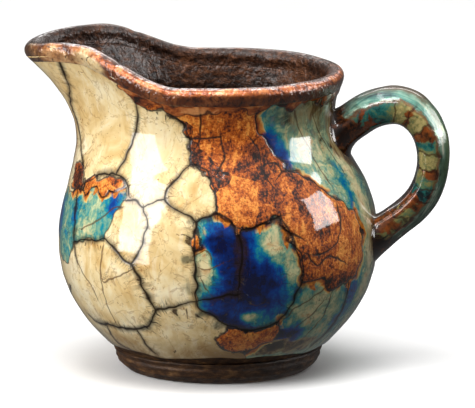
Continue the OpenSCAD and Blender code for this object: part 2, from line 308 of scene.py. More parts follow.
# Cracks in three groups, so that lines which meet are in different ones
CRACKS = [
    [
        [
            (-72, 88.5), (-75, 82), (-81, 74.5), (-79, 67), (-68, 58.5), (-66, 53.5), (-62, 47),
            (-59, 39.5), (-57, 34),
        ],
        [(-42, 86), (-36, 81.5), (-36, 74.5), (-40, 66.5), (-42, 60.5)],
        NECK_EDGE,
        [(-26, 52.5), (-23, 48.5), (-24, 43), (-28, 36.5)],
        [(-20, 23.5), (-12, 25), (-4, 27), (6, 29), (12, 29)],
        [(-32, 16.5), (-31, 12), (-28, 8.5)],
        [(-4, 49), (-1, 50.5), (4, 52), (8, 50.5), (12, 48), (16, 48), (22, 49), (28, 50)],
        [(-104, 88), (-102, 76), (-106, 64), (-100, 50), (-96, 38), (-100, 24), (-96, 12)],
        [(-128, 54), (-134, 66), (-130, 78)],
        [(-128, 34), (-134, 22), (-130, 10)],
        FAR_EDGE,
        [(6, 71.5), (6, 68.5), (6, 65), (4, 62)],
        [(33, 61.5), (37, 61.5), (41, 61.5)],
        [(56, 50.5), (55, 46.5), (52, 41.5), (45, 39.5), (40, 39)],
        [(60, 28.5), (60.5, 23.5), (62, 17), (60, 13), (56, 10)],
        [(160, 70), (164, 62), (160, 54)],
    ],
    [
        [(-9, 64), (-14, 60), (-17, 55), (-10, 52.5), (-4, 49)],
        [(-59, 39.5), (-52, 41), (-45, 41.5), (-40, 42.5), (-34, 39), (-28, 36.5)],
        [(-20, 23.5), (-24, 19.5), (-32, 16.5), (-43, 16.5), (-58, 16), (-63, 17.5)],
        [(-4, 27), (-2, 24), (2, 22.5), (8, 19.5), (15, 18), (22, 19), (28, 20)],
        [(-106, 64), (-118, 60), (-128, 54)],
        [(-96, 38), (-110, 36), (-128, 34)],
        [(-100, 24), (-90, 20), (-78, 22), (-70, 25)],
        [(204, 44), (196, 36), (190, 28), (176, 32), (168, 40)],
        [(-4, 81), (-4, 75.5), (-5, 71), (-8, 67.5)],
        [(20, 71), (24, 67), (24, 64), (26, 60), (28, 57), (26, 55)],
        [(28, 48.5), (30, 46), (35, 43.5)],
        [(11.6, 48), (12.3, 43), (11.8, 37), (12.2, 31)],
        [(36, 39.5), (42, 36.5), (48, 38), (56, 35)],
        [(164, 62), (172, 64), (184, 62)],
    ],
    [
        [(-17, 55), (-22, 54), (-26, 52.5), (-30, 54), (-34, 53.5)],
        [(-28, 36.5), (-24, 30.5), (-20, 23.5)],
        [(-51, 15), (-52, 10.5), (-43, 8)],
        POOL_EDGE,
        [(28, 20), (32, 24), (36, 31), (36, 35), (34, 40), (31, 45.5), (28, 50)],
        [(-9, 64), *SHARD_EDGE],
        [(-128, 54), (-140, 50), (-156, 44)],
        [(-128, 54), (-126, 44), (-128, 34)],
        [(-128, 34), (-140, 32), (-148, 28), (-170, 28)],
        [(-10, 71), (-4, 71), (1, 71), (6, 71.5)],
        [(24, 63.5), (30, 64), (33, 61.5), (30, 60)],
        [(-67, 54), (-58, 56), (-55, 58), (-50, 59.3), (-44, 60.3), (-40, 59.7), (-36, 57.5), (-34, 55)],
        [(160, 54), (172, 52), (186, 46)],
    ],
]
FAINT_CRACKS = [
    [(-41, 40), (-43, 29.5), (-42, 18)],
    [(-56, 33.5), (-50, 28.5), (-48, 24)],
    [(-28, 35), (-34, 32.5), (-42, 30.5)],
    [(-56, 43.5), (-48, 46), (-44, 47.5), (-40, 50.5), (-35, 51.5)],
    [(30, 19.5), (34, 23), (40, 25.5), (46, 28.5)],
    [(51, 26.5), (51, 22.5), (48, 17.5), (44, 12.5)],
    [(38, 18), (43, 21), (47, 24)],
    [(43, 77.5), (51, 68.5), (54, 62), (56, 56.5)],
    [(53, 80), (61, 72), (67, 64.5), (70, 58.5)],
    [(-4, 40), (-2, 41), (0, 41.5), (2, 39.5)],
    [(-2, 36.5), (2, 36.5), (5, 37.5)],
    [(-2, 33.5), (-1, 31.5), (0, 30.5)],
    [(-112, 50), (-114, 42), (-111, 30)],
    [(-120, 24), (-112, 17), (-114, 9)],
]
# Marks that taper from their first point: dark barbs beside the cracks, and flames of scorched glaze
BARBS = [
    [(-15, 25.5), (-15, 28), (-15, 30)], [(-12, 24), (-12, 22.5), (-10, 20.5)],
    [(-20, 22.5), (-18, 21.5), (-17, 20)], [(-27, 18.5), (-24, 17), (-21, 15.5)],
    [(-25, 20), (-22, 19.5), (-19, 18.5)], [(-8, 24.5), (-8, 21.5), (-8, 18)],
    [(-4, 23), (-2, 21.5), (0, 19.5)], [(-58, 38), (-58, 35), (-56, 33)],
    [(-43, 40.5), (-42, 39), (-42, 36.5)], [(-17, 10), (-16, 11), (-16, 12.5)],
    [(-4, 39), (-6, 38.5), (-9, 37.5)], [(-30, 79), (-30, 78), (-30, 76.5)],
    [(-26, 78), (-25, 76.5), (-25, 75)], [(-21, 77), (-20, 76), (-20, 74.5)],
    [(-5, 45), (-8, 45.5), (-11, 46)], [(-52, 39.5), (-52, 42), (-52, 44)],
    [(-66, 59), (-64, 62), (-62, 64)], [(-26, 32), (-23, 32.5), (-21, 32)],
    [(-22, 27), (-26, 27.5), (-29, 27)], [(-38, 16.5), (-37, 18.5), (-38, 20.5)],
    [(-110, 36), (-111, 39), (-110, 42)], [(-132, 32), (-130, 28), (-131, 25)],
    [(-118, 60), (-117, 63), (-118, 67)],
]
FLAMES = [
    [(-59, 57.5), (-58, 55), (-56, 51.5)], [(-46, 57), (-46, 55), (-46, 51.5)],
    [(-51, 57.5), (-51, 56), (-52, 53.5)], [(-66, 56), (-66, 53.5), (-67, 50.5)],
    [(-40, 57), (-40, 55), (-41, 53)], [(-74, 56), (-75, 53), (-76, 50)],
    [(20, 49.5), (20, 47.5), (20, 46)], [(7, 51), (7, 49), (6.5, 47.5)],
    [(31, 46), (30, 44), (29.5, 41.5)], [(40, 32), (40, 30), (41, 28)], [(60, 30.5), (60, 28), (61, 26)],
    [(66, 47), (69, 44), (70, 41)],
]
# Outlines of the cream, of the teal patches in it and of the copper
CREAM = [
    (-42, 99), *SHOULDER_EDGE, *NECK_EDGE, *SHARD_EDGE, (-1, 50.5), *POOL_EDGE, (-2, 24), (2, 22.5),
    (8, 19.5), (4, 15.5), (6, 13), (11, 11), (16, 10.5), (20, 3), (-150, 3), (-152, 20), (-146, 30),
    (-158, 44), (-150, 60), (-156, 80), (-156, 99),
]
TEAL_PATCHES = [
    [
        (-87, 45.5), (-88, 49.5), (-64, 54), (-52, 56.5), (-44, 59.5), (-38, 57.5), (-34, 54),
        (-38, 48.5), (-40, 44), (-40, 42), (-52, 41), (-59, 39.5), (-66, 32.5), (-74, 31.5),
    ],
    [(-128, 54), (-140, 50), (-150, 46), (-148, 38), (-140, 32), (-128, 34), (-126, 44)],
]
COPPER = [
    [
        *SHOULDER_EDGE, *NECK_EDGE, *SHARD_EDGE, (8, 50.5), (10.6, 48.6), (12, 44.6), (13.4, 48.4),
        (19, 48.6), (27, 50.5), (28, 47.5), (31, 45.5), (34, 40), (36, 35), (37, 31.5), (45, 31.5),
        (51, 27), (56, 29), (64, 30.5), (67, 34.5), (68, 41), (65, 48.5), (57, 52), (50, 56), (42, 60),
        (36, 62), (30, 67), (26, 71), (23, 75.5), (23, 79), (26, 99), (-42, 99),
    ],
    [
        (4, 15.5), (8, 18.5), (16, 17), (22, 18.5), (28, 19.5), (31, 16.5), (28, 14), (22, 12),
        (16, 10.5), (11, 11), (6, 13),
    ],
    [
        (-63, 55.2), (-56, 57.2), (-50, 58.3), (-44, 59.4), (-40, 59.2), (-37, 57.5), (-40, 55),
        (-44, 55.5), (-46, 53.5), (-50, 56), (-54, 55), (-57, 53), (-60, 54.5),
    ],
    [(-77, 59.5), (-70, 59), (-63, 56), (-63, 54), (-68, 52.5), (-77, 55)],
    [(-6, 45.5), (-4, 47), (-1.5, 45), (-1.5, 43), (-4, 41.5), (-5, 43.5)],
    [
        (128, 99), (128, 79), (134, 70), (140, 62), (150, 56), (156, 46), (168, 40), (176, 32), (190, 28),
        (196, 36), *FAR_EDGE, (182, 99),
    ],
]
# Pools in the glaze, and of painted shading: turn, height, half width in turn, half width in height, change
BLUE_BASE = 0.27
BLUE_POOLS = [
    (14, 36, 19, 15, 0.56), (12, 42, 8, 8, 0.2), (16, 29, 12, 5, 0.16), (4, 26.5, 5, 3.5, 0.25),
    (0, 36, 4.2, 6, -0.68), (3.5, 44, 4, 3.4, 0.5), (7, 21.5, 5, 2, 0.5), (13, 19, 6, 2, 0.4),
    (22, 30, 9, 6, 0.22), (24, 43, 6, 5.5, -0.6), (30.5, 34, 4, 5, -0.45), (17, 22.3, 4, 1.8, -0.55),
    (-1, 46, 2.5, 2.5, -0.15), (29, 68.5, 3.5, 4, 0.56), (34, 64, 4, 3.5, 0.66), (42, 59, 4, 2.5, 0.2),
    (64, 25.5, 5, 5.5, 0.36), (60, 18, 4, 3, 0.3), (35, 15.5, 6, 2.6, 0.8), (38, 23.5, 6, 4.5, -0.2),
    (47, 23, 6, 5, -0.16), (55, 20, 3.5, 6, -0.2), (-82, 44, 7, 5, 0.4), (-40, 52, 4, 4, 0.4),
    # The pool at turn 75, height 44 paints a pale band down the side by the handle: partly painted reflection
    (-56, 47, 12, 6, 0.06), (-63, 46, 3, 7, 0.2), (75, 44, 4, 26, -0.28), (-54, 44, 5, 3, -0.25),
    (48, 70, 5, 8, -0.16), (66, 54, 3, 6, 0.28), (58, 64, 6, 6, -0.17), (172, 26, 16, 9, 0.6),
    (150, 34, 9, 9, -0.2), (112, 60, 9, 9, 0.25), (120, 28, 9, 10, 0.3), (-140, 42, 7, 5, 0.3),
    (100, 20, 8, 6, 0.25),
]
BROWN_POOLS = [
    (58, 78, 14, 5, 0.45), (42, 76, 11, 5, 0.3), (62, 71, 6, 8, 0.32), (77, 68, 7, 8, 0.6),
    (58, 32, 6, 3.5, 0.6), (45, 28, 5, 3, 0.35), (29, 11.6, 11, 2.2, 1.4), (46, 11, 8, 2, 1.0),
    # The pool at turn -86, height 64 paints a brown band down the side by the spout: partly painted
    # reflection
    (-86, 64, 9, 13, 0.7), (90, 67.5, 12, 8, 1.9), (90, 38, 12, 8, 1.5), (110, 76, 14, 5, 0.6),
    (-168, 40, 8, 10, 0.4),
]
BLEED_POOLS = [
    (-7, 39, 3, 1.5, 1.0), (-7, 30.5, 3, 2.8, 0.7), (-6, 45, 2.5, 1.6, 0.6), (-6, 49, 3, 1.2, 0.6),
    (-2, 22.5, 3, 1.3, 0.9), (4, 19.5, 3.5, 1.4, 0.9), (-23, 20.5, 4, 2.2, 0.7), (-28, 17.5, 5, 1.6, 0.6),
    (-44, 17.5, 5, 1.4, 0.5), (-36, 10, 6, 2, 0.5),
]
# Painted shading of the copper: pools above 0 darken it, mostly under the rim and partly over its own dark
# patches;
# pools below 0 are painted light where the copper is lit dimly.
PAINTED_SHADING_POOLS = [
    (0, 81.5, 34, 2, 0.8), (-4, 74, 12, 4, -0.3), (20, 64, 7, 5, 0.35), (12, 70, 4, 4, 0.4),
    (-2, 66, 6, 6, -0.55), (3, 62, 4, 3, -0.8), (7, 57, 6, 3, -0.15), (52, 44, 7, 2.4, 0.6),
    (50, 36, 9, 5, -0.5), (-72, 58, 8, 6, -1.2), (-48, 57, 9, 3, -0.3), (28, 55, 8, 5, 0.3),
    (15, 53, 6, 3, 0.3), (160, 80, 24, 5, 1.0), (176, 44, 8, 7, 0.5),
]


def flat_line(points, each=6):
    """A curve through (turn, height) points, as (arc, height)."""
    p = np.array(points, float) * (ARC, 1)
    p = np.concatenate([2 * p[:1] - p[1:2], p, 2 * p[-1:] - p[-2:-1]])
    t = np.linspace(0, 1, each, endpoint=False)[:, None]
    runs = []
    for a, b, c, d in zip(p, p[1:], p[2:], p[3:]):
        runs.append(b + 0.5 * t * (c - a + t * (2 * a - 5 * b + 4 * c - d + t * (3 * (b - c) + d - a))))
    return np.concatenate([*runs, p[-2:-1]])


def nearest_turn(arc, line):
    """The arcs moved by whole turns to lie nearest to a line."""
    whole = 360 * ARC
    middle = (line[:, 0].min() + line[:, 0].max()) / 2
    return middle + (arc - middle + whole / 2) % whole - whole / 2


def signed_distance(arc, height, line):
    """Distance to a line of (arc, height) points, with a sign for its side, and the place along it."""
    a, d = line[:-1], np.diff(line, axis=0)
    x, y = arc[:, None] - a[:, 0], height[:, None] - a[:, 1]
    t = np.clip((x * d[:, 0] + y * d[:, 1]) / (d**2).sum(1), 0, 1)
    far = np.hypot(x - t * d[:, 0], y - t * d[:, 1])
    k = far.argmin(1)
    row = np.arange(len(k))
    side = d[k, 0] * y[row, k] - d[k, 1] * x[row, k]
    along = lengths(line)[k] + t[row, k] * np.hypot(*d[k].T)
    return np.where(side < 0, -1, 1) * far[row, k], along


def close_to(arc, height, line, reach):
    """Which points lie in the box around a line, and their arcs on its turn."""
    near_arc = nearest_turn(arc, line)
    low, high = line.min(0) - reach, line.max(0) + reach
    beside = (near_arc > low[0]) & (near_arc < high[0])
    near = np.flatnonzero(beside & (height > low[1]) & (height < high[1]))
    return near, near_arc[near]


def crack_field(arc, height, lines, reach=7.0):
    """Signed distance to the nearest of several lines, up to a reach, and the place along it."""
    found = np.full(arc.shape, reach)
    place = np.zeros(arc.shape)
    for k, points in enumerate(lines):
        line = flat_line(points)
        near, near_arc = close_to(arc, height, line, reach)
        far, along = signed_distance(near_arc, height[near], line)
        closer = np.abs(far) < np.abs(found[near])
        found[near[closer]] = far[closer]
        place[near[closer]] = along[closer] + LINE_APART * k
    return found, place


def taper_field(arc, height, lines, thick):
    """Distance to the nearest of several tapering marks, as a share of its half width."""
    found = np.full(arc.shape, float(MARK_REACH))
    for points in lines:
        line = flat_line(points)
        near, near_arc = close_to(arc, height, line, MARK_REACH * thick)
        far, along = signed_distance(near_arc, height[near], line)
        taper = TAPER_FROM - along / lengths(line)[-1]
        found[near] = np.minimum(found[near], np.abs(far) / thick / taper)
    return found


def inside_field(arc, height, outline):
    """Distance to the outline of a patch, positive inside it."""
    line = np.array([*outline, outline[0]], float) * (ARC, 1)
    arc = nearest_turn(arc, line)
    far = np.abs(signed_distance(arc, height, line)[0])
    inside = np.zeros(arc.shape, bool)
    for (x0, y0), (x1, y1) in zip(line, line[1:]):
        if y0 != y1:
            crossing = x0 + (height - y0) / (y1 - y0) * (x1 - x0)
            inside ^= ((y0 > height) != (y1 > height)) & (arc < crossing)
    return np.where(inside, far, -far)


def pool_field(turn, height, base, pools):
    depth = np.full(turn.shape, base)
    for t, h, wide, tall, change in pools:
        off = (turn - t + 180) % 360 - 180
        depth += change * np.exp(-((off / wide) ** 2) - ((height - h) / tall) ** 2)
    return depth


def glaze_line(turn):
    """Height of the lower edge of the glaze."""
    a = np.radians(turn)
    waves = sum(height * np.sin(count * a + shift) for height, count, shift in GLAZE_WAVES)
    return FOOT_H + GLAZE_LINE + GLAZE_TILT * np.cos(a) + waves


def collar_field(points, turn, rise):
    """Height above the ragged lower edge of the glaze that runs down from the rim, which the lip lacks."""
    from_lip = (np.abs((turn + 270) % 360 - 180) - LIP_ANGLE) * ARC
    return np.minimum(rise - MOUTH_Z + COLLAR_H, from_lip * COLLAR_SLOPE) + uneven(points, COLLAR_RAGS)


def body_fields(points, rise):
    """Fields of the glaze at points on the outside of the body, whose rise is their height before drawing."""
    turn = np.degrees(np.arctan2(points[:, 0], -points[:, 1]))
    height = points[:, 2]
    arc = uneven(points, ARC_WANDER, turn * ARC)
    high = uneven(points, HEIGHT_WANDER, height)
    cracks, places = np.swapaxes([crack_field(arc, high, lines) for lines in CRACKS], 0, 1)
    nearest = np.abs(cracks).argmin(0)
    near = np.abs(cracks).min(0)
    along = np.take_along_axis(places, nearest[None], 0)[0] + GROUP_APART * nearest
    faint = crack_field(arc, high, FAINT_CRACKS)[0]
    marks = [taper_field(arc, high, BARBS, BARB_W), taper_field(arc, high, FLAMES, FLAME_W)]
    bleed = pool_field(arc / ARC, high, 0.0, BLEED_POOLS)
    arc = uneven(points, ARC_FRAY, arc)
    high = uneven(points, HEIGHT_FRAY, high)
    cream = inside_field(arc, high, CREAM)
    for patch in TEAL_PATCHES:
        cream = np.minimum(cream, -inside_field(arc, high, patch))
    copper = np.max([inside_field(arc, high, patch) for patch in COPPER], 0)
    depth = pool_field(arc / ARC, high, BLUE_BASE, BLUE_POOLS)
    brown = pool_field(arc / ARC, high, 0.0, BROWN_POOLS)
    # Painted shading and painted light for the copper
    shade = pool_field(arc / ARC, high, 0.0, PAINTED_SHADING_POOLS)
    glazed = height - glaze_line(turn)
    collar = collar_field(points, turn, rise)[:, None]
    return {
        "crack": np.stack(cracks, 1),
        "collar": np.repeat(collar, 3, 1),
        "tint_and_shading": np.stack([brown, shade, along], 1),
        "mark": np.stack([*marks, bleed], 1),
        "zone": np.stack([np.clip(cream, *ZONE_LIMITS), np.clip(copper, *ZONE_LIMITS), depth], 1),
        "edge": np.stack([near, faint, np.clip(glazed, *GLAZED_LIMITS)], 1),
    }


# Nodes

def srgb(r, g, b):
    """A colour from 0 to 255 as the linear colour a shader takes."""
    c = np.array([r, g, b]) / 255
    return (*np.where(c <= 0.04045, c / 12.92, ((c + 0.055) / 1.055) ** 2.4).tolist(), 1.0)


def as_colour(value):
    """A node value as it is, three numbers from 0 to 255 as a colour, and one linear number as a grey."""
    if isinstance(value, Value):
        return value
    return srgb(*value) if isinstance(value, tuple) else (value, value, value, 1.0)


class Value:
    """An output of a node; what is done with it adds nodes that work on it."""

    def __init__(self, nodes, socket):
        self.nodes = nodes
        self.socket = socket

    def __add__(self, other):
        return self.nodes.math("ADD", self, other)

    def __mul__(self, other):
        return self.nodes.math("MULTIPLY", self, other)

    def __rsub__(self, other):
        return self.nodes.math("SUBTRACT", other, self)

    def __or__(self, other):
        """The greater of the two values."""
        return self.nodes.math("MAXIMUM", self, other)

    def __abs__(self):
        return self.nodes.math("ABSOLUTE", self)

    def plus_clamped(self, other):
        """The sum with another value, kept within 0 and 1."""
        return self.nodes.math("ADD", self, other, clamp=True)

    def sway(self, amount):
        """A value of 0 to 1 as a wander to both sides of 0."""
        return self.nodes.math("MULTIPLY_ADD", self, 2 * amount, -amount)

    def step(self, low, high, to_low=0.0, to_high=1.0, soft=True):
        """A clamped change from to_low to to_high as the value goes from low to high."""
        inputs = dict(enumerate((self, low, high, to_low, to_high)))
        kind = "SMOOTHSTEP" if soft else "LINEAR"
        return self.nodes.value("ShaderNodeMapRange", inputs, interpolation_type=kind, clamp=True)

    def between(self, a, b):
        """A number that goes from a to b as the value goes from 0 to 1."""
        inputs = {0: self, 2: a, 3: b}
        return self.nodes.value("ShaderNodeMix", inputs, data_type="FLOAT", clamp_factor=True)

    def covered(self, share, top):
        """This colour, covered by a share of another."""
        inputs = {0: share, 6: self, 7: as_colour(top)}
        return self.nodes.value("ShaderNodeMix", inputs, 2, data_type="RGBA", clamp_factor=True)

    def layered(self, *layers):
        """This colour under layers, from the lowest up, each a share and a colour."""
        colour = self
        for share, top in layers:
            colour = colour.covered(share, top)
        return colour

    def ramp(self, stops):
        """The colour that the value picks from a band of colours."""
        made = self.nodes.node("ShaderNodeValToRGB", {0: self})
        elements = made.color_ramp.elements
        while len(elements) < len(stops):
            elements.new(0.5)
        for element, (at, colour) in zip(elements, stops):
            element.position = at
            element.color = as_colour(colour)
        return Value(self.nodes, made.outputs[0])


class Nodes:
    """A node tree that is made step by step, on points of one kind of coordinates."""

    def __init__(self, owner, coordinates):
        owner.use_nodes = True
        self.tree = owner.node_tree
        self.tree.nodes.clear()
        self.point = self.value("ShaderNodeTexCoord", {}, coordinates)

    def node(self, kind, inputs, **settings):
        """A new node, with its inputs given by number or name."""
        made = self.tree.nodes.new(kind)
        for key, value in settings.items():
            setattr(made, key, value)
        for key, value in inputs.items():
            if isinstance(value, Value):
                self.tree.links.new(value.socket, made.inputs[key])
            else:
                made.inputs[key].default_value = value
        return made

    def value(self, kind, inputs, out=0, **settings):
        """An output of a new node."""
        return Value(self, self.node(kind, inputs, **settings).outputs[out])

    def math(self, operation, *values, clamp=False):
        return self.value("ShaderNodeMath", dict(enumerate(values)), operation=operation, use_clamp=clamp)

    def parts(self, vector):
        """The three numbers of a vector."""
        return [Value(self, part) for part in self.node("ShaderNodeSeparateXYZ", {0: vector}).outputs]

    def joined(self, x, y):
        return self.value("ShaderNodeCombineXYZ", {0: x, 1: y})

    def fields(self, name):
        """The three fields that the corners of a piece carry under a name."""
        return self.parts(self.value("ShaderNodeAttribute", {}, "Vector", attribute_name=name))

    def placed(self, stretch, tilt=(0, 0, 0)):
        """The point in a stretched and tilted frame, for marks that run one way."""
        turns = [math.radians(v) for v in tilt]
        return self.value("ShaderNodeMapping", {"Vector": self.point, "Scale": stretch, "Rotation": turns})

    def noise(self, size, detail=3.0, rough=0.5, bend=0.0, point=None, out="Fac"):
        """Noise of a size in millimetres, over points in metres."""
        return self.value("ShaderNodeTexNoise", {
            "Vector": point or self.point, "Scale": 1 / (size * MM),
            "Detail": detail, "Roughness": rough, "Distortion": bend,
        }, out)

    def cells(self, size, point, out):
        """Rounded cells of a size in millimetres."""
        inputs = {"Vector": point, "Scale": 1 / (size * MM)}
        return self.value("ShaderNodeTexVoronoi", inputs, out, feature="F1")

    def bent(self, size, amount):
        """The point moved about by noise, for cells that wander."""
        reach = (2 * amount * MM,) * 3
        inputs = {0: self.noise(size, out="Color"), 1: reach, 2: self.point}
        return self.value("ShaderNodeVectorMath", inputs, operation="MULTIPLY_ADD")


class Coat(Nodes):
    """The nodes of a material, over points of its piece."""

    def __init__(self, name):
        self.material = bpy.data.materials.new(name)
        super().__init__(self.material, "Object")

    def bump(self, relief):
        return self.value("ShaderNodeBump", {"Strength": BUMP, "Distance": MM, "Height": relief})

    def finish(self, colour, rough, metal, gloss, gloss_rough, height, film, sheen):
        """The finished surface; height and film, the relief of the gloss, are in millimetres."""
        skin = self.value("ShaderNodeBsdfPrincipled", {
            "Base Color": colour, "Roughness": rough, "Metallic": metal, "Specular IOR Level": sheen,
            "Coat Weight": gloss, "Coat Roughness": gloss_rough,
            "Normal": self.bump(height), "Coat Normal": self.bump(film),
        })
        self.node("ShaderNodeOutputMaterial", {"Surface": skin})
        return self.material


# Materials: bands of colours, then the glazes and the clay

CRACK_COLOUR = (24, 17, 13)
CREAM_BAND = [
    (0.33, (250, 234, 194)), (0.47, (241, 216, 162)), (0.6, (224, 190, 128)), (0.7, (200, 156, 92)),
]
COPPER_BAND = [
    (0.03, (28, 9, 1)), (0.21, (92, 36, 3)), (0.42, (156, 71, 9)), (0.64, (198, 97, 18)),
    (1.0, (242, 158, 66)),
]
BLUE_BAND = [
    (0.0, (230, 214, 164)), (0.12, (200, 202, 154)), (0.25, (128, 166, 136)), (0.38, (30, 136, 142)),
    (0.51, (0, 98, 156)), (0.67, (2, 58, 138)), (0.83, (5, 38, 104)), (1.0, (9, 17, 58)),
]
OLIVE_BAND = [(0.36, (50, 26, 8)), (0.48, (118, 80, 36)), (0.6, (176, 154, 104))]
SCORCH_BAND = [
    (0.0, (150, 186, 146)), (0.25, (224, 190, 112)), (0.5, (214, 130, 44)), (0.75, (150, 66, 14)),
    (0.95, (60, 24, 8)),
]
FLAME_BAND = [(0.36, (150, 66, 14)), (0.64, (228, 138, 42))]
COLLAR_BAND = [(0.08, (40, 15, 5)), (0.34, (116, 52, 14)), (0.6, (176, 92, 36)), (0.92, (216, 146, 86))]
CLAY_BAND = [(0.34, (34, 18, 8)), (0.52, (68, 43, 22)), (0.7, (116, 82, 48))]
BRONZE_BAND = [(0.38, (24, 11, 5)), (0.52, (58, 32, 17)), (0.68, (112, 68, 40))]
RIM_BAND = [
    (0.05, (40, 16, 4)), (0.28, (106, 45, 12)), (0.5, (184, 94, 40)), (0.72, (222, 140, 80)),
    (1.0, (250, 206, 160)),
]
# The rim's skirt, under the bulge of its coil, is darker: partly painted shadow
SHADED_RIM_SKIRT = [(0.1, (46, 20, 8)), (0.5, (98, 48, 20)), (0.9, (150, 88, 48))]
RIM_TOP = [(0.1, (40, 20, 12)), (0.5, (98, 62, 45)), (0.9, (156, 118, 96))]
LIP_BAND = [(0.1, (64, 28, 10)), (0.36, (132, 70, 30)), (0.6, (188, 122, 68)), (0.9, (242, 204, 154))]
LIP_SKIRT = [(0.15, (150, 92, 46)), (0.36, (222, 186, 130)), (0.6, (238, 214, 164)), (0.9, (246, 228, 186))]
HANDLE_BAND = [
    (0.0, (184, 166, 106)), (0.2, (132, 126, 74)), (0.4, (84, 116, 86)), (0.56, (30, 104, 98)),
    (0.74, (22, 46, 48)), (1.0, (12, 10, 12)),
]
RUST_BAND = [(0.36, (48, 18, 5)), (0.64, (166, 82, 30))]
# The palest colours of the handle's back are partly painted reflection
BACK_STREAK_AND_SHEEN_BAND = [(0.34, (30, 72, 74)), (0.43, (88, 148, 132)), (0.52, (156, 194, 170)), (0.64, (234, 230, 204))]
FAR_BAND = [(0.36, (26, 42, 34)), (0.64, (78, 104, 74))]
REAR_BAND = [(0.2, (72, 42, 38)), (0.34, (96, 76, 48)), (0.46, (92, 112, 66)), (0.7, (36, 62, 50))]
BURNT_BAND = [(0.3, (12, 5, 2)), (0.52, (40, 19, 8)), (0.68, (104, 54, 22))]
FLOOR_BAND = [(0.3, (246, 245, 244)), (0.7, (250, 249, 248))]
# Tilts of the strokes in the copper
STROKE_TILTS = 58, -35
# In hundreds of degrees from the spout: where the lip's colours turn to the rim's, and its dark tip's end
SEAM_START, SEAM_FULL, TIP_REACH = 0.3, 0.37, 0.16


def cream_colour(c, s):
    """Cream glaze with tan clouds, brush marks and grey feathering beside the cracks."""
    cloud = c.noise(12, 5, 0.6, 0.6)
    brush = c.noise(2.6, 4, 0.6, 0.4, c.placed((1, 1, 0.22), (0, 25, 0)))
    fleck = c.noise(1.7, 2, 0.5, 1.5).step(0.67, 0.73, 0, 0.7)
    vein = abs(c.noise(9, 4, 0.6, 0.8).sway(1)).step(0.035, 0.0, 0, 0.45)
    feather = c.noise(1400, 4, 0.7, 0.5, c.joined(s.along, s.near * 0.25)).step(0.48, 0.7, 0, 0.66)
    bleeding = (s.bleed + brush.sway(0.7)).step(0.25, 0.9, 0, 0.75)
    # Darker and browner towards the glaze's lower edge
    low = s.above.step(9.0, 0.0) * cloud.step(0.3, 0.6, 0.35, 0.75)
    return cloud.ramp(CREAM_BAND).layered(
        (brush.step(0.52, 0.68, 0, 0.32), (200, 152, 86)),
        (brush.step(0.45, 0.32, 0, 0.3), (255, 246, 216)),
        (fleck, (140, 86, 40)),
        (vein, (150, 98, 46)),
        # Brown from the brown pools; by the spout it is partly painted reflection
        (s.brown.step(0.25, 1.0, 0, 0.75), (146, 92, 48)),
        (s.near.step(5.5, 0.2) * feather, (110, 78, 38)),
        (s.near.step(1.5, 0.1, 0, 0.74), (66, 54, 38)),
        (bleeding, (50, 66, 54)),
        (low, (130, 94, 46)),
    )


def copper_colour(c, s):
    """Copper lustre in flakes of different tones, pitted, turned brown by painted shading and lighter by
    painted light; and its grain.
    """
    flake, lean, _ = c.parts(c.cells(13, c.bent(8, 3.0), "Color"))
    grain, cloud = c.noise(0.7, 4, 0.75), c.noise(6, 4, 0.62, 1.0)
    strokes = [c.noise(1.7, 5, 0.7, 0.8, c.placed((1, 1, 0.38), (0, tilt, 20))) for tilt in STROKE_TILTS]
    stroke = lean.step(0.4, 0.6).between(*strokes)
    tone = (grain.sway(1.0) + stroke.sway(0.9)) + (cloud.sway(0.85) + flake.sway(0.35))
    # Painted shading darkens the tone and painted light lifts it
    tone = tone.plus_clamped(s.shade.step(-1.2, 1.2, 0.77, 0.08, soft=False))
    pit = c.cells(1.1, c.bent(2, 0.6), "Distance").step(0.32, 0.14) * stroke.step(0.62, 0.42, 0.15, 0.7)
    return tone.ramp(COPPER_BAND).covered(pit, (48, 19, 7)), grain


def blue_colour(c, s):
    """Pooling blue glaze, from pale green where it is thin to indigo where it is deep."""
    streak = c.noise(2.6, 4, 0.62, 0.5, c.placed((1, 1, 0.12)))
    swirl = c.noise(4.6, 5, 0.65, 1.0)
    tone = s.depth + (streak.sway(0.24) + (swirl.sway(0.42) + s.fine.sway(0.16)))
    ember = tone.step(0.22, 0.0) * c.noise(4, 3, 0.5, 0.8).step(0.5, 0.68, 0, 0.7)
    vein = abs(c.noise(7, 4, 0.6, 1.0).sway(1)).step(0.03, 0.0, 0, 0.5)
    olive = (s.brown + swirl.sway(0.7)).step(0.1, 0.6, 0, 0.92)
    burnt = (s.brown + streak.sway(0.8)).step(0.9, 1.3, 0, 0.92)
    rust = s.copper_in + swirl.sway(2.0)
    patchy = c.noise(8, 3).step(0.4, 0.5) * s.depth.step(0.6, 0.42)
    inky = s.copper_in.step(-2.0, -0.2) * s.depth.step(0.42, 0.6, 0, 0.85)
    return tone.ramp(BLUE_BAND).layered(
        (ember, (190, 126, 58)),
        (vein, (34, 26, 24)),
        (olive, streak.ramp(OLIVE_BAND)),
        (burnt, (34, 18, 8)),
        (rust.step(-2.2, -1.7, 0, 0.95) * patchy, rust.step(-2.2, 0.0, soft=False).ramp(SCORCH_BAND)),
        (inky, (12, 10, 22)),
    )


def collar_colour(c):
    """Brown and tan glaze that runs down from the rim."""
    run = c.noise(2.6, 4, 0.66, 0.6, c.placed((0.5, 0.5, 1)))
    return (run.sway(1.1) + c.noise(9, 3, 0.55).sway(1.0)).plus_clamped(0.45).ramp(COLLAR_BAND)


def clay_colour(c):
    return c.noise(1.6, 5, 0.62, 0.3, c.placed((0.45, 0.45, 1))).ramp(CLAY_BAND)


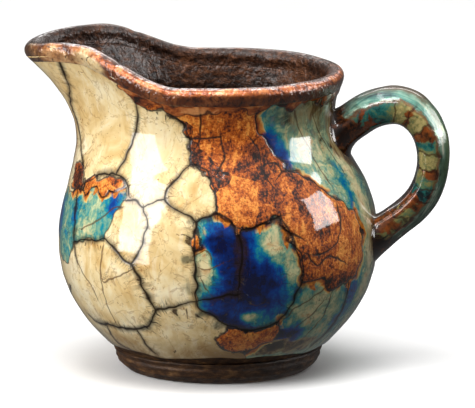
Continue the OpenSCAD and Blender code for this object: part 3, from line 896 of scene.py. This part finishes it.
def crack_share(c, s):
    """How much of the surface is crack: dark lines of uneven width with short barbs."""
    width = s.broad.step(0.35, 0.65, 0.24, 0.6)
    first, second, third = [abs(field + s.mid.sway(0.22)).step(width, 0.06) for field in c.fields("crack")]
    barb = c.noise(430, 2, 0.5, point=c.joined(s.along, s.near * 0.1))
    reach = s.broad.step(0.4, 0.6, 0.5, 3.2)
    barbs = barb.step(0.58, 0.7) * s.near.step(reach, 0.2, 0, 0.95)
    return (first | second | third | barbs) * s.near.step(3.4, 2.4)


def body_shares(c):
    """The fields that the body's corners carry, noise, and how much of the surface each finish covers."""
    s = SimpleNamespace()
    s.near, s.faint, s.above = c.fields("edge")
    s.brown, s.shade, s.along = c.fields("tint_and_shading")
    s.barb, s.flame, s.bleed = c.fields("mark")
    s.cream_in, s.copper_in, s.depth = c.fields("zone")
    s.fine, s.mid, s.broad = c.noise(0.9, 3, 0.6), c.noise(3.4, 4, 0.6), c.noise(9, 3)
    s.cream_edge = s.cream_in + s.mid.sway(0.5)
    s.copper_edge = s.copper_in + (s.mid.sway(1.0) + s.fine.sway(0.5))
    s.collar = c.fields("collar")[0] + s.mid.sway(0.6)
    s.cream = s.cream_edge.step(-0.15, 0.15)
    s.copper = s.copper_edge.step(-0.12, 0.12)
    s.cracked = crack_share(c, s) * s.collar.step(0.8, 0.0, 0.25, 1.0)
    s.bare = (s.above + s.mid.sway(0.4)).step(0.15, -0.15)
    return s


def body_colour(c, s, lustre):
    halo = (s.near + s.mid.sway(1.6)).step(1.7, 0.2, 0, 0.7)
    line = abs(s.faint + s.mid.sway(0.4)).step(0.4, 0.08, 0, 0.75)
    cream_border = abs(s.cream_edge).step(0.45, 0.05, 0, 0.75)
    flare = (s.flame + s.mid.sway(1.2)).step(1.2, 0.7, 0, 0.95) * (1.0 - s.cream)
    spike = (s.barb + s.mid.sway(0.8)).step(1.15, 0.45, 0, 0.9)
    copper_border = abs(s.copper_edge + 0.25).step(0.55, 0.1, 0, 0.85)
    collar_border = abs(s.collar).step(0.4, 0.08) * s.broad.step(0.42, 0.56, 0.1, 0.85)
    return blue_colour(c, s).layered(
        (halo, (46, 28, 14)),
        (s.cream, cream_colour(c, s)),
        (line, (80, 46, 20)),
        (cream_border, (58, 46, 32)),
        (flare, s.fine.ramp(FLAME_BAND)),
        (spike, (50, 34, 20)),
        (s.copper, lustre),
        (copper_border, (36, 16, 8)),
        (s.collar.step(-0.25, 0.25), collar_colour(c)),
        (collar_border, (34, 15, 7)),
        (s.cracked * 0.93, CRACK_COLOUR),
        (s.bare, clay_colour(c)),
    )


def body_glaze():
    c = Coat("body_glaze")
    s = body_shares(c)
    lustre, grain = copper_colour(c, s)
    rough = s.copper.between(0.16, grain.step(0.35, 0.65, 0.55, 0.35))
    metal = s.copper * 0.15 * (1.0 - (s.cracked | s.bare))
    pits = grain * s.copper * 0.28
    clay = c.noise(0.9, 4, 0.7) * s.bare * 0.35
    relief = s.copper_edge.step(-0.5, 0.7) * 0.2 + s.cracked * -0.05
    film = relief * 0.12 + (s.broad * 0.06 + s.mid * s.copper * 0.05)
    return c.finish(
        body_colour(c, s, lustre), s.bare.between(rough, 0.62), metal,
        gloss=(s.bare | s.cracked).between(0.85, 0.0), gloss_rough=0.04,
        height=(pits + clay) + (relief + s.broad * 0.1), film=film, sheen=0.2,
    )


def bare_clay():
    c = Coat("bare_clay")
    grain = c.noise(0.9, 5, 0.7)
    turning = c.noise(1.1, 3, 0.6, point=c.placed((0.1, 0.1, 1)))
    height = grain * 0.3 + turning * 0.25
    rough = grain.step(0.3, 0.7, 0.62, 0.42)
    return c.finish(
        clay_colour(c), rough, 0.0, gloss=0.1, gloss_rough=0.3, height=height, film=height, sheen=0.3,
    )


def bronze_colour(c):
    """Dark bronze glaze, and its brush marks."""
    brushed = c.noise(1.3, 5, 0.7, 0.5, c.placed((0.5, 0.5, 1)))
    return (brushed * 0.75 + c.noise(12, 4) * 0.3).ramp(BRONZE_BAND), brushed


def wrinkles(c, brushed):
    """Relief of the wrinkled glaze inside, to both sides of 0, in millimetres."""
    fold = c.noise(2.2, 3, 0.6, 1.2, c.placed((1, 1, 0.6), (0, 40, 0)))
    swell = c.noise(4.0, 3, 0.5, 0.8)
    return brushed.sway(0.3) + (swell.sway(0.8) + fold.sway(0.7))


def inside_glaze():
    """Bronze glaze, with painted shadow that turns it almost black below the mouth."""
    c = Coat("inside_glaze")
    bronze, brushed = bronze_colour(c)
    level = c.parts(c.point)[2] + brushed.sway(6 * MM)
    # Painted shadow: it darkens from 1 to 10 mm under the mouth's height, almost to black
    deep = level.step((MOUTH_Z - 1) * MM, (MOUTH_Z - 10) * MM, 0, 0.95)
    rough = brushed.step(0.3, 0.7, 0.6, 0.4)
    creases = wrinkles(c, brushed)
    return c.finish(
        bronze.covered(deep, (7, 4, 2)), rough, 0.05, gloss=0.5, gloss_rough=0.08,
        height=creases, film=creases * 0.35, sheen=0.1,
    )


def rim_colour(c, s, outside, skirt, tip):
    """Bronze inside, worn brown on top, and two bands of colours outside.

    Beside the seam between lip and rim, both bands turn to the colours of the rim.
    """
    turn = abs(s.angle)
    low = s.wander.step(0.62, 0.8) * turn.step(0.16, 0.36, 0.15, 1.0)
    seam = (turn + (s.cloud.sway(0.12) + s.side * -0.06)).step(SEAM_START, SEAM_FULL)
    mark = (c.noise(2.6, 3, 0.6, 1.4) + s.side * 0.06).step(0.63, 0.71, 0, 0.8)
    dark = (turn + s.cloud.sway(0.12)).step(tip, tip * 0.4)
    band = s.tone.ramp(outside).covered(seam, s.tone.ramp(RIM_BAND))
    # The rim's skirt colours are darker, partly painted shadow under the coil
    lower = s.tone.ramp(skirt).covered(seam, s.tone.ramp(SHADED_RIM_SKIRT))
    outer = band.layered((low, lower), (mark, (36, 17, 9)))
    return s.tone.ramp(RIM_TOP).layered(
        (s.wander.step(0.12, 0.36), outer),
        (s.within, s.bronze),
        (dark * 0.85, (46, 24, 13)),
    )


def rim_glaze(name, outside, skirt, tip):
    """Glaze of the rounded edge, whose dark tip at the spout reaches as far as tip."""
    c = Coat(name)
    s = SimpleNamespace()
    s.side, s.angle, _ = c.fields("coil")
    s.bronze, brushed = bronze_colour(c)
    grain = c.noise(0.9, 4, 0.7, point=c.placed((1, 1, 0.6)))
    s.cloud = c.noise(6, 4, 0.62, 0.6)
    s.tone = (grain.sway(0.45) + s.cloud.sway(0.9)).plus_clamped(0.5)
    s.wander = s.side + s.cloud.sway(0.3)
    s.within = s.wander.step(-0.05, -0.28)
    dents = c.noise(3.0, 3, 0.5) * s.wander.step(0.1, 0.5, 0.1, 0.9)
    sparkle = c.noise(1.5, 2, 0.5) * s.wander.step(0.1, 0.4, 0.05, 0.5)
    folds = wrinkles(c, brushed) * s.within
    return c.finish(
        rim_colour(c, s, outside, skirt, tip),
        s.within.between(grain.step(0.3, 0.7, 0.4, 0.24), 0.5),
        s.wander.step(0.7, 0.2, 0.15, 0.45),
        gloss=s.within.between(0.9, 0.5), gloss_rough=s.within.between(0.05, 0.08),
        height=(grain * 0.2 + dents) + folds, film=(sparkle + dents * 0.5) + folds * 0.35, sheen=0.3,
    )


def handle_shares(c):
    """The fields that the handle's corners carry, noise, and how much of it is brown or crack."""
    s = SimpleNamespace()
    s.blue, s.rust, s.dark = c.fields("zone")
    s.crack, s.face, s.along = c.fields("edge")
    s.fine, s.mid, s.swirl = c.noise(0.8, 3, 0.6), c.noise(2.4, 4, 0.58), c.noise(3.4, 4, 0.55, 1.0)
    s.streak = c.noise(2200, 4, 0.62, 0.4, c.joined(s.along * 0.16, s.face * 5.0))
    s.outer = s.face + s.mid.sway(0.3)
    under = s.face.step(-0.05, -0.55) * s.along.step(42, 52, 0, 0.45)
    s.brown = ((s.rust + under) + s.swirl.sway(0.7)).step(0.3, 0.5, 0, 0.94)
    s.line = abs(s.crack + s.mid.sway(1.4)).step(0.6, 0.15) * s.face.step(0.7, 0.25)
    return s


def back_colour(s):
    """Pale streaks on the handle's back, partly painted reflection; greener towards its lower end, darker at
    the rear.
    """
    far = s.along.step(25, 36) * s.streak.step(0.62, 0.42, 0.35, 0.9)
    rear = s.outer.step(0.6, 0.9) * s.streak.step(0.4, 0.6, 0.55, 0.95)
    return s.streak.ramp(BACK_STREAK_AND_SHEEN_BAND).layered(
        (far, s.mid.ramp(FAR_BAND)),
        (rear, (s.along * (1 / HANDLE_LENGTH)).ramp(REAR_BAND)),
    )


def handle_glaze():
    """Bands of green, brown and blue glaze, with burnt ends, a brown ridge and a streaked back."""
    c = Coat("handle_glaze")
    s = handle_shares(c)
    tone = s.blue + (s.swirl.sway(0.62) + s.fine.sway(0.26))
    ridge = abs(s.outer + -RIDGE_AT).step(0.14, 0.03, 0, 0.6)
    burnt = (s.dark + s.swirl.sway(0.4)).step(0.3, 0.66)
    colour = tone.ramp(HANDLE_BAND).layered(
        (s.brown, s.mid.ramp(RUST_BAND)),
        (s.outer.step(0.24, 0.42), back_colour(s)),
        (ridge, (124, 60, 24)),
        (s.outer.step(-0.72, -0.92, 0, 0.8), (40, 26, 16)),
        (s.line * 0.7, (52, 22, 8)),
        (burnt, s.mid.ramp(BURNT_BAND)),
    )
    height = s.mid * 0.16 + s.line * -0.06
    return c.finish(
        colour, s.mid.step(0.3, 0.7, 0.22, 0.12), s.brown * 0.25,
        gloss=0.85, gloss_rough=s.outer.step(0.3, 0.6, 0.03, 0.2),
        height=height, film=height * 0.3, sheen=0.15,
    )


def floor_paint():
    c = Coat("floor_paint")
    grain = c.noise(30, 4)
    height = grain * 0.02
    rough = grain.step(0.3, 0.7, 0.85, 0.95)
    return c.finish(
        grain.ramp(FLOOR_BAND), rough, 0.0, gloss=0.0, gloss_rough=0.5, height=height, film=height, sheen=0.5,
    )


# Pieces

def glaze_lift(points, fields):
    """How far each point of the outside moves out: copper and collar stand proud, bare clay lies low."""
    raised = np.maximum(fields["zone"][:, 1], fields["collar"][:, 0])
    copper = smooth(raised / COPPER_STEP + 0.5)
    bare = smooth(0.5 - fields["edge"][:, 2] / BARE_STEP)
    thrown = np.sin(points[:, 2] * 2 * np.pi / THROWN_PITCH + uneven(points, RING_WANDER))
    wave = uneven(points, WALL_WAVES) + THROWN_H * thrown
    lift = -SKIN + np.clip(COPPER_LIFT * copper + wave - BARE_DROP * bare, DEEPEST, SKIN)
    fade = np.clip(np.arange(OUTER_ROWS)[::-1] / FADE_ROWS, 0, 1)
    return lift * np.repeat(fade, AROUND)


def inside_lift(points, profile):
    """How far each point of the hollow moves: rings from throwing, which fade out on the floor."""
    r, z = profile[:, :1], profile[:, 1:]
    thrown = np.sin(z * 2 * np.pi / INSIDE_PITCH) * np.clip(r / FADE_R - QUIET_SHARE, 0, 1)
    return INSIDE_H * (thrown + uneven(points, INSIDE_WAVES)) * (z < MOUTH_Z - MOUTH_BAND)


def build_body(glaze, inside, clay):
    a = around(AROUND)
    under = np.stack([np.linspace(0.5, FOOT_R, UNDER_ROWS), np.full(UNDER_ROWS, FOOT_H)], 1)[:-1]
    outer = even(OUTER, OUTER_ROWS)
    inner = even(INNER, INNER_ROWS)[::-1][:-1]
    profile = np.concatenate([under, outer, inner])
    rings = turned(*drawn(profile[:, :1], profile[:, 1:], a[None]), a[None])
    skin = slice(len(under), len(under) + OUTER_ROWS)
    hollow = slice(skin.stop, None)
    points = rings[skin].reshape(-1, 3)
    fields = body_fields(points, np.repeat(outer[:, 1], AROUND))
    lift = glaze_lift(points, fields).reshape(-1, AROUND, 1)
    rings[skin] += ring_normals(rings)[skin] * lift
    rings[hollow] += ring_normals(rings)[hollow] * inside_lift(rings[hollow], inner)[..., None]
    corners, faces = rolled(rings, (0, 0, FOOT_H), (0, 0, FLOOR_Z))
    row = np.arange(len(rings) - 1)
    kind = np.where(row < skin.start, 2, np.where(row < skin.stop - 1, 0, 1))
    of_face = np.r_[np.repeat(kind, AROUND), np.full(AROUND, 2), np.full(AROUND, 1)]
    first = skin.start * AROUND
    piece("body", corners, faces, [glaze, inside, clay], fields, first, faces_of=of_face)


def coil_section(a, size):
    """Rows of (radius, height) round the coil at angles a, their sides, and the middle of the coil.

    The side goes from -1 inside to 1 outside over the round, and a little further on the fillets.
    """
    out_seat = np.stack(drawn(MOUTH_R, MOUTH_Z, a), 1)
    low = MOUTH_Z - COIL_SKIRT
    out_low = np.stack(drawn(outer_r(low), low, a), 1)
    in_seat, in_low = out_seat - (WALL, 0), out_low - (WALL, 0)
    middle = out_seat + (-WALL / 2, COIL_LIFT)
    over = np.radians(np.linspace(180 + COIL_WRAP, -COIL_WRAP, COIL_AROUND))
    arch = middle[None] + size[None, :, None] * np.stack([np.cos(over), np.sin(over)], 1)[:, None]
    t = np.linspace(0, 1, COIL_AROUND // 4)[:, None, None]
    out_fillet = arch[-1] * (1 - t) ** 2 + 2 * (out_seat + (COIL_BULGE, 0)) * t * (1 - t) + out_low * t**2
    in_fillet = in_low * (1 - t) ** 2 + 2 * (in_seat - (COIL_BULGE, 0)) * t * (1 - t) + arch[0] * t**2
    core = np.stack([out_low - (CORE_INSET, CORE_SINK), in_low + (CORE_INSET, -CORE_SINK)])
    fillet_side = np.linspace(1, FILLET_SIDE, len(t))[1:]
    round_side = (90 - np.degrees(over)) / (90 + COIL_WRAP)
    side = np.concatenate([-fillet_side[::-1], round_side, fillet_side, (FILLET_SIDE, -FILLET_SIDE)])
    return np.concatenate([in_fillet[:-1], arch, out_fillet[1:], core]), side, middle


def build_coil(node, material, first, last, steps):
    """A length of the rounded edge between two angles from the spout, blended onto the wall."""
    a = np.linspace(first, last, steps)
    r, z = drawn(MOUTH_R, MOUTH_Z, a)
    lumps = uneven(turned(r - WALL / 2, z + COIL_LIFT, a), COIL_LUMPS)
    from_end = np.minimum(np.abs(a - first), np.abs(a - last)) * COIL_ARC
    size = COIL_R * (1 - PINCH * np.exp(-(from_end / PINCH_LENGTH) ** 2)) - COIL_SHY + lumps
    section, side, middle = coil_section(a, size)
    rings = turned(section[..., 0], section[..., 1], a[None]).swapaxes(0, 1)
    ends = [turned(*middle[k], a[k]) for k in (0, -1)]
    corners, faces = rolled(rings, *ends)
    turn = (a + 180) % 360 - 180
    coil = np.stack(np.broadcast_arrays(side[None], turn[:, None] / 100, 0.0), -1).reshape(-1, 3)
    piece(node, corners, faces, [material], {"coil": coil})


def build_foot(clay):
    quarter = np.radians(np.linspace(0, 90, QUARTER_STEPS))
    inner = (REST_INNER_R, RECESS_ROUND) - RECESS_ROUND * np.stack([np.cos(quarter), np.sin(quarter)], 1)
    outer = (REST_OUTER_R, FOOT_ROUND) + FOOT_ROUND * np.stack([np.sin(quarter), -np.cos(quarter)], 1)
    line = np.concatenate([[(REST_INNER_R - RECESS_ROUND, FOOT_H)], inner, outer, [(FOOT_R, FOOT_H)]])
    profile = even(line, FOOT_ROWS)
    height = profile[:, 1:]
    a = np.linspace(0, 360, FOOT_AROUND, endpoint=False)
    rings = turned(profile[:, :1], height, a[None])
    wear = uneven(rings, FOOT_WEAR) + TURNED_H * np.sin(height * 2 * np.pi / TURNED_PITCH) - FOOT_SHY
    flat = (height > FOOT_H - SEAT_BAND) | (height < REST_BAND)
    rings = rings + ring_normals(rings) * np.where(flat, 0, wear)[..., None]
    closing = rings[-1:] * 0.5 + rings[:1] * 0.5
    corners, faces = rolled(np.concatenate([rings, closing]))
    last = len(rings) * FOOT_AROUND
    after = [(i + 1) % FOOT_AROUND for i in range(FOOT_AROUND)]
    faces += [[last + i, i, k, last + k] for i, k in enumerate(after)]
    piece("foot_ring", corners, faces, [clay])


def handle_lines():
    """The middle of the handle from root to root, as three cubic curves."""
    upper = np.array([outer_r(UPPER_ROOT_Z), UPPER_ROOT_Z])
    lower = np.array([outer_r(LOWER_ROOT_Z), LOWER_ROOT_Z])
    lift, fall = np.radians(UPPER_LIFT), np.radians(LOWER_FALL)
    leave, reach = LEAVE_SHARE * (CREST[0] - upper[0]), REACH_SHARE * (WIDEST[0] - lower[0])
    turn = TURN_SHARE * (WIDEST - CREST)
    return (
        [upper, upper + leave * np.array([np.cos(lift), np.sin(lift)]), CREST - (leave, 0), CREST],
        [CREST, CREST + (turn[0], 0), WIDEST - (0, turn[1]), WIDEST],
        [
            WIDEST, WIDEST - (0, DROP_SHARE * (WIDEST[1] - lower[1])),
            lower + reach * np.array([np.cos(fall), np.sin(fall)]), lower,
        ],
    )


def handle_middle():
    """Points along the middle of the handle between its joints, their directions and the thickness there."""
    first, second, third = handle_lines()
    upper_share = JOINT_L / np.linalg.norm(CREST - first[0])
    lower_share = 1 - JOINT_L / np.linalg.norm(WIDEST - third[3])
    t = np.linspace(0, 1, CURVE_STEPS)
    line = np.concatenate([
        bezier(first, upper_share + (1 - upper_share) * t),
        bezier(second, t[1:]),
        bezier(third, lower_share * t[1:]),
    ])
    thinning = smooth(np.concatenate([0 * t, t[1:], 0 * t[1:] + 1]))
    thick = UPPER_T + (HANDLE_T - UPPER_T) * thinning
    way = np.gradient(line, axis=0)
    way /= np.linalg.norm(way, axis=1, keepdims=True)
    pick = np.searchsorted(lengths(line), np.linspace(0, lengths(line)[-1] - 1e-9, HANDLE_ROWS))
    return line[pick], way[pick], thick[pick]


def ridged(wide, out):
    """Half widths of the handle with its back bevelled on both sides, down to a soft ridge."""
    bevel = 1 - RIDGE_SLOPE * (out - RIDGE_AT)
    return (np.maximum(wide, 1e-6) ** -RIDGE_SHARP + bevel**-RIDGE_SHARP) ** (-1 / RIDGE_SHARP)


def joint_rings(ring, way, root_z, turn):
    """Rings from an end of the handle to the wall, on which the last one lies."""
    z = root_z + turn * JOINT_H / 2 * np.sin(HANDLE_TURNS)
    y = JOINT_W / 2 * np.cos(HANDLE_TURNS)
    edge = np.stack([np.sqrt(outer_r(z) ** 2 - y**2) - SKIN, y, z], -1)
    t = np.linspace(0, 1, JOINT_ROWS)[:, None, None]
    lead = JOINT_L * np.array([way[0], 0, way[1]])
    return ring * (1 - t) ** 2 + 2 * (ring + lead) * t * (1 - t) + edge * t**2


def handle_rings():
    """Rings of the two joints and of the handle between them, from neck to belly."""
    line, way, thick = handle_middle()
    rise, width = np.sin(HANDLE_TURNS), np.cos(HANDLE_TURNS)
    share = np.sign(rise) * np.abs(rise) ** SQUARENESS
    out = thick[:, None] / 2 * share
    y = HANDLE_W / 2 * np.sign(width) * ridged(np.abs(width) ** SQUARENESS, share)
    x, z = line[:, :1] - way[:, 1:] * out, line[:, 1:] + way[:, :1] * out
    middle = np.stack([x, np.broadcast_to(y, out.shape), z], -1)
    upper = joint_rings(middle[0], -way[0], UPPER_ROOT_Z, 1)[::-1]
    lower = joint_rings(middle[-1], way[-1], LOWER_ROOT_Z, -1)
    return np.concatenate([upper, middle[1:-1], lower])


# Glaze along the handle: distance from the neck, half width, change
HANDLE_BLUE = [
    (7, 4, 0.3), (13, 3.5, 0.2), (20, 3, -0.18), (26, 4, -0.2), (32.5, 2, 0.3), (37.5, 2.5, -0.2),
    (43, 3, -0.05), (47.2, 2.4, 0.5), (54.5, 2.5, -0.05),
]
HANDLE_RUST = [
    (23.5, 1.6, 0.4), (29.6, 1.8, 0.5), (40.5, 1.6, 0.4), (51, 2.2, 0.5), (6, 4, 0.4), (60, 4, 0.42),
]
HANDLE_DARK = [(0, 4.6, 1.2), (7, 3, 0.3), (32, 2, 0.25), (47, 2, 0.35), (67, 5.5, 0.8)]
# The same three with what they start from
HANDLE_ZONES = (0.32, HANDLE_BLUE), (0.1, HANDLE_RUST), (0.0, HANDLE_DARK)
HANDLE_CRACKS = (16.9, 23.5, 28.4, 35.2, 40.0, 45.2, 49.4, 56.4)


def band_field(along, base, bands):
    total = np.full(along.shape, base)
    for at, half, change in bands:
        total += change * np.exp(-(((along - at) / half) ** 2))
    return total


def handle_fields(rings, along):
    """Fields of the glaze on the handle's rings, which lie at distances along it."""
    points = rings.reshape(-1, 3)
    along = np.repeat(along, HANDLE_AROUND)
    bent = along + uneven(points, BAND_WANDER)
    offs = bent[:, None] - np.array(HANDLE_CRACKS)
    nearest = offs[np.arange(len(offs)), np.abs(offs).argmin(1)]
    zone = [band_field(bent, base, bands) for base, bands in HANDLE_ZONES]
    face = np.tile(np.sin(HANDLE_TURNS), len(rings))
    return {"zone": np.stack(zone, 1), "edge": np.stack([nearest, face, along], 1)}


def root_point(z):
    """A point under the wall's surface, which closes a joint."""
    return np.array([outer_r(z) - SKIN - ROOT_DEPTH, 0, z])


def build_handle(glaze):
    rings = handle_rings()
    way = lengths(rings.mean(1))
    rows = np.arange(len(rings))
    fade = smooth(np.minimum(rows, rows[::-1]) / JOINT_FADE_ROWS)[:, None]
    rings = rings + ring_normals(rings) * ((uneven(rings, HANDLE_LUMPS) - HANDLE_SHY) * fade)[..., None]
    normals = ring_normals(rings)
    fields = handle_fields(rings, way * HANDLE_LENGTH / way[-1])
    middles = rings.mean(1)
    split, last = JOINT_ROWS, len(rings)
    upper, lower = middles[split - 1], middles[last - split]
    spans = {
        "upper_handle_joint": ("joint_glaze", 0, split, root_point(UPPER_ROOT_Z), upper),
        "handle": ("handle_glaze", split - 1, last - split + 1, upper, lower),
        "lower_handle_joint": ("joint_glaze", last - split, last, lower, root_point(LOWER_ROOT_Z)),
    }
    for node, (slot, low, high, start, end) in spans.items():
        corners, faces = rolled(rings[low:high], start, end)
        caps = np.array([middles[low] - middles[low + 1], middles[high - 1] - middles[high - 2]])
        caps /= np.linalg.norm(caps, axis=1, keepdims=True)
        directions = np.concatenate([normals[low:high].reshape(-1, 3), caps])
        span = slice(low * HANDLE_AROUND, high * HANDLE_AROUND)
        own = {name: values[span] for name, values in fields.items()}
        piece(node, corners, faces, [glaze], own, normals=directions)


# Stage, light and camera

PHOTO_W, PHOTO_H = 475, 408
AZIMUTH, ELEVATION = 4.0, 11.0
CAMERA_AWAY = 2500.0
PIXELS_PER_MM = 3.571
AXIS_PIXEL, AXIS_HEIGHT = (218.0, 208.0), 45.0
SENSOR_W = 36.0
# In metres
FLOOR_HALF = 12.0
CLIP_START, CLIP_END = 0.1, 60.0
# Brightness of the surroundings from straight down, at 0, to straight up, at 1
WORLD_GLOW = [(0.0, 0.2), (0.4, 0.1), (0.56, 0.06), (0.75, 0.4), (1.0, 1.0)]


def build_floor():
    mesh = bpy.data.meshes.new("floor")
    half = FLOOR_HALF
    corners = [(-half, -half, 0), (half, -half, 0), (half, half, 0), (-half, half, 0)]
    mesh.from_pydata(corners, [], [(0, 1, 2, 3)])
    mesh.materials.append(floor_paint())
    floor = bpy.data.objects.new("floor", mesh)
    bpy.context.scene.collection.objects.link(floor)
    floor.visible_diffuse = floor.visible_glossy = False


def build_world():
    """Soft studio surroundings, brighter overhead."""
    world = bpy.data.worlds.new("studio")
    nodes = Nodes(world, "Generated")
    glow = nodes.parts(nodes.point)[2].step(-1.0, 1.0, soft=False).ramp(WORLD_GLOW)
    back = nodes.value("ShaderNodeBackground", {"Color": glow})
    nodes.node("ShaderNodeOutputWorld", {"Surface": back})
    bpy.context.scene.world = world


def panel(name, direction, away, width, height, glow, lights=True, mirrored=True):
    """A soft light, in metres, that faces the jug and shows in its gloss, or does only one of the two."""
    lamp = bpy.data.lights.new(name, "AREA")
    lamp.shape = "RECTANGLE"
    lamp.size, lamp.size_y = width, height
    lamp.energy = glow * math.pi * width * height
    made = bpy.data.objects.new(name, lamp)
    made.visible_diffuse, made.visible_glossy = lights, mirrored
    way = Vector(direction).normalized()
    made.location = Vector((0, 0, AXIS_HEIGHT * MM)) + way * away
    made.rotation_mode = "QUATERNION"
    made.rotation_quaternion = way.to_track_quat("Z", "Y")
    bpy.context.scene.collection.objects.link(made)


def build_lights():
    build_world()
    panel("left_softbox", (-0.8, -0.5, 0.3), 0.9, 0.42, 0.85, 8.5)
    panel("right_card", (0.95, 0.02, 0.32), 0.95, 0.38, 0.46, 11.0, lights=False)
    panel("front_card", (-0.22, -0.5, 0.92), 0.9, 0.7, 0.09, 16.0, lights=False)
    panel("back_strip", (0.0, 0.8, 0.6), 1.0, 1.2, 0.16, 7.0, lights=False)
    panel("top_card", (-0.05, -0.25, 0.97), 1.0, 0.5, 0.16, 13.0, lights=False)
    panel("top_softbox", (0.1, -0.25, 1.0), 1.0, 0.8, 0.55, 6.8, mirrored=False)


def build_camera():
    az, el = math.radians(AZIMUTH), math.radians(ELEVATION)
    right = Vector((math.cos(az), math.sin(az), 0))
    back = Vector((math.sin(az) * math.cos(el), -math.cos(az) * math.cos(el), math.sin(el)))
    up = back.cross(right)
    shift_x = (PHOTO_W / 2 - AXIS_PIXEL[0]) / PIXELS_PER_MM
    shift_y = (AXIS_PIXEL[1] - PHOTO_H / 2) / PIXELS_PER_MM
    aim = Vector((0, 0, AXIS_HEIGHT)) + right * shift_x + up * shift_y
    lens = bpy.data.cameras.new("camera")
    lens.sensor_width = SENSOR_W
    lens.lens = PIXELS_PER_MM * CAMERA_AWAY * SENSOR_W / PHOTO_W
    lens.clip_start, lens.clip_end = CLIP_START, CLIP_END
    camera = bpy.data.objects.new("camera", lens)
    turn = Matrix((right, up, back)).transposed().to_4x4()
    camera.matrix_world = Matrix.Translation((aim + back * CAMERA_AWAY) * MM) @ turn
    bpy.context.scene.collection.objects.link(camera)
    bpy.context.scene.camera = camera
    bpy.context.scene.view_settings.view_transform = "Standard"


clay = bare_clay()
build_body(body_glaze(), inside_glaze(), clay)
lip = rim_glaze("lip_glaze", LIP_BAND, LIP_SKIRT, TIP_REACH)
rim = rim_glaze("rim_glaze", RIM_BAND, SHADED_RIM_SKIRT, 0.0)
build_coil("spout_lip", lip, -LIP_ANGLE, LIP_ANGLE, LIP_STEPS)
build_coil("rim_coil", rim, LIP_ANGLE, 360 - LIP_ANGLE, RIM_STEPS)
build_foot(clay)
build_handle(handle_glaze())
build_floor()
build_lights()
build_camera()
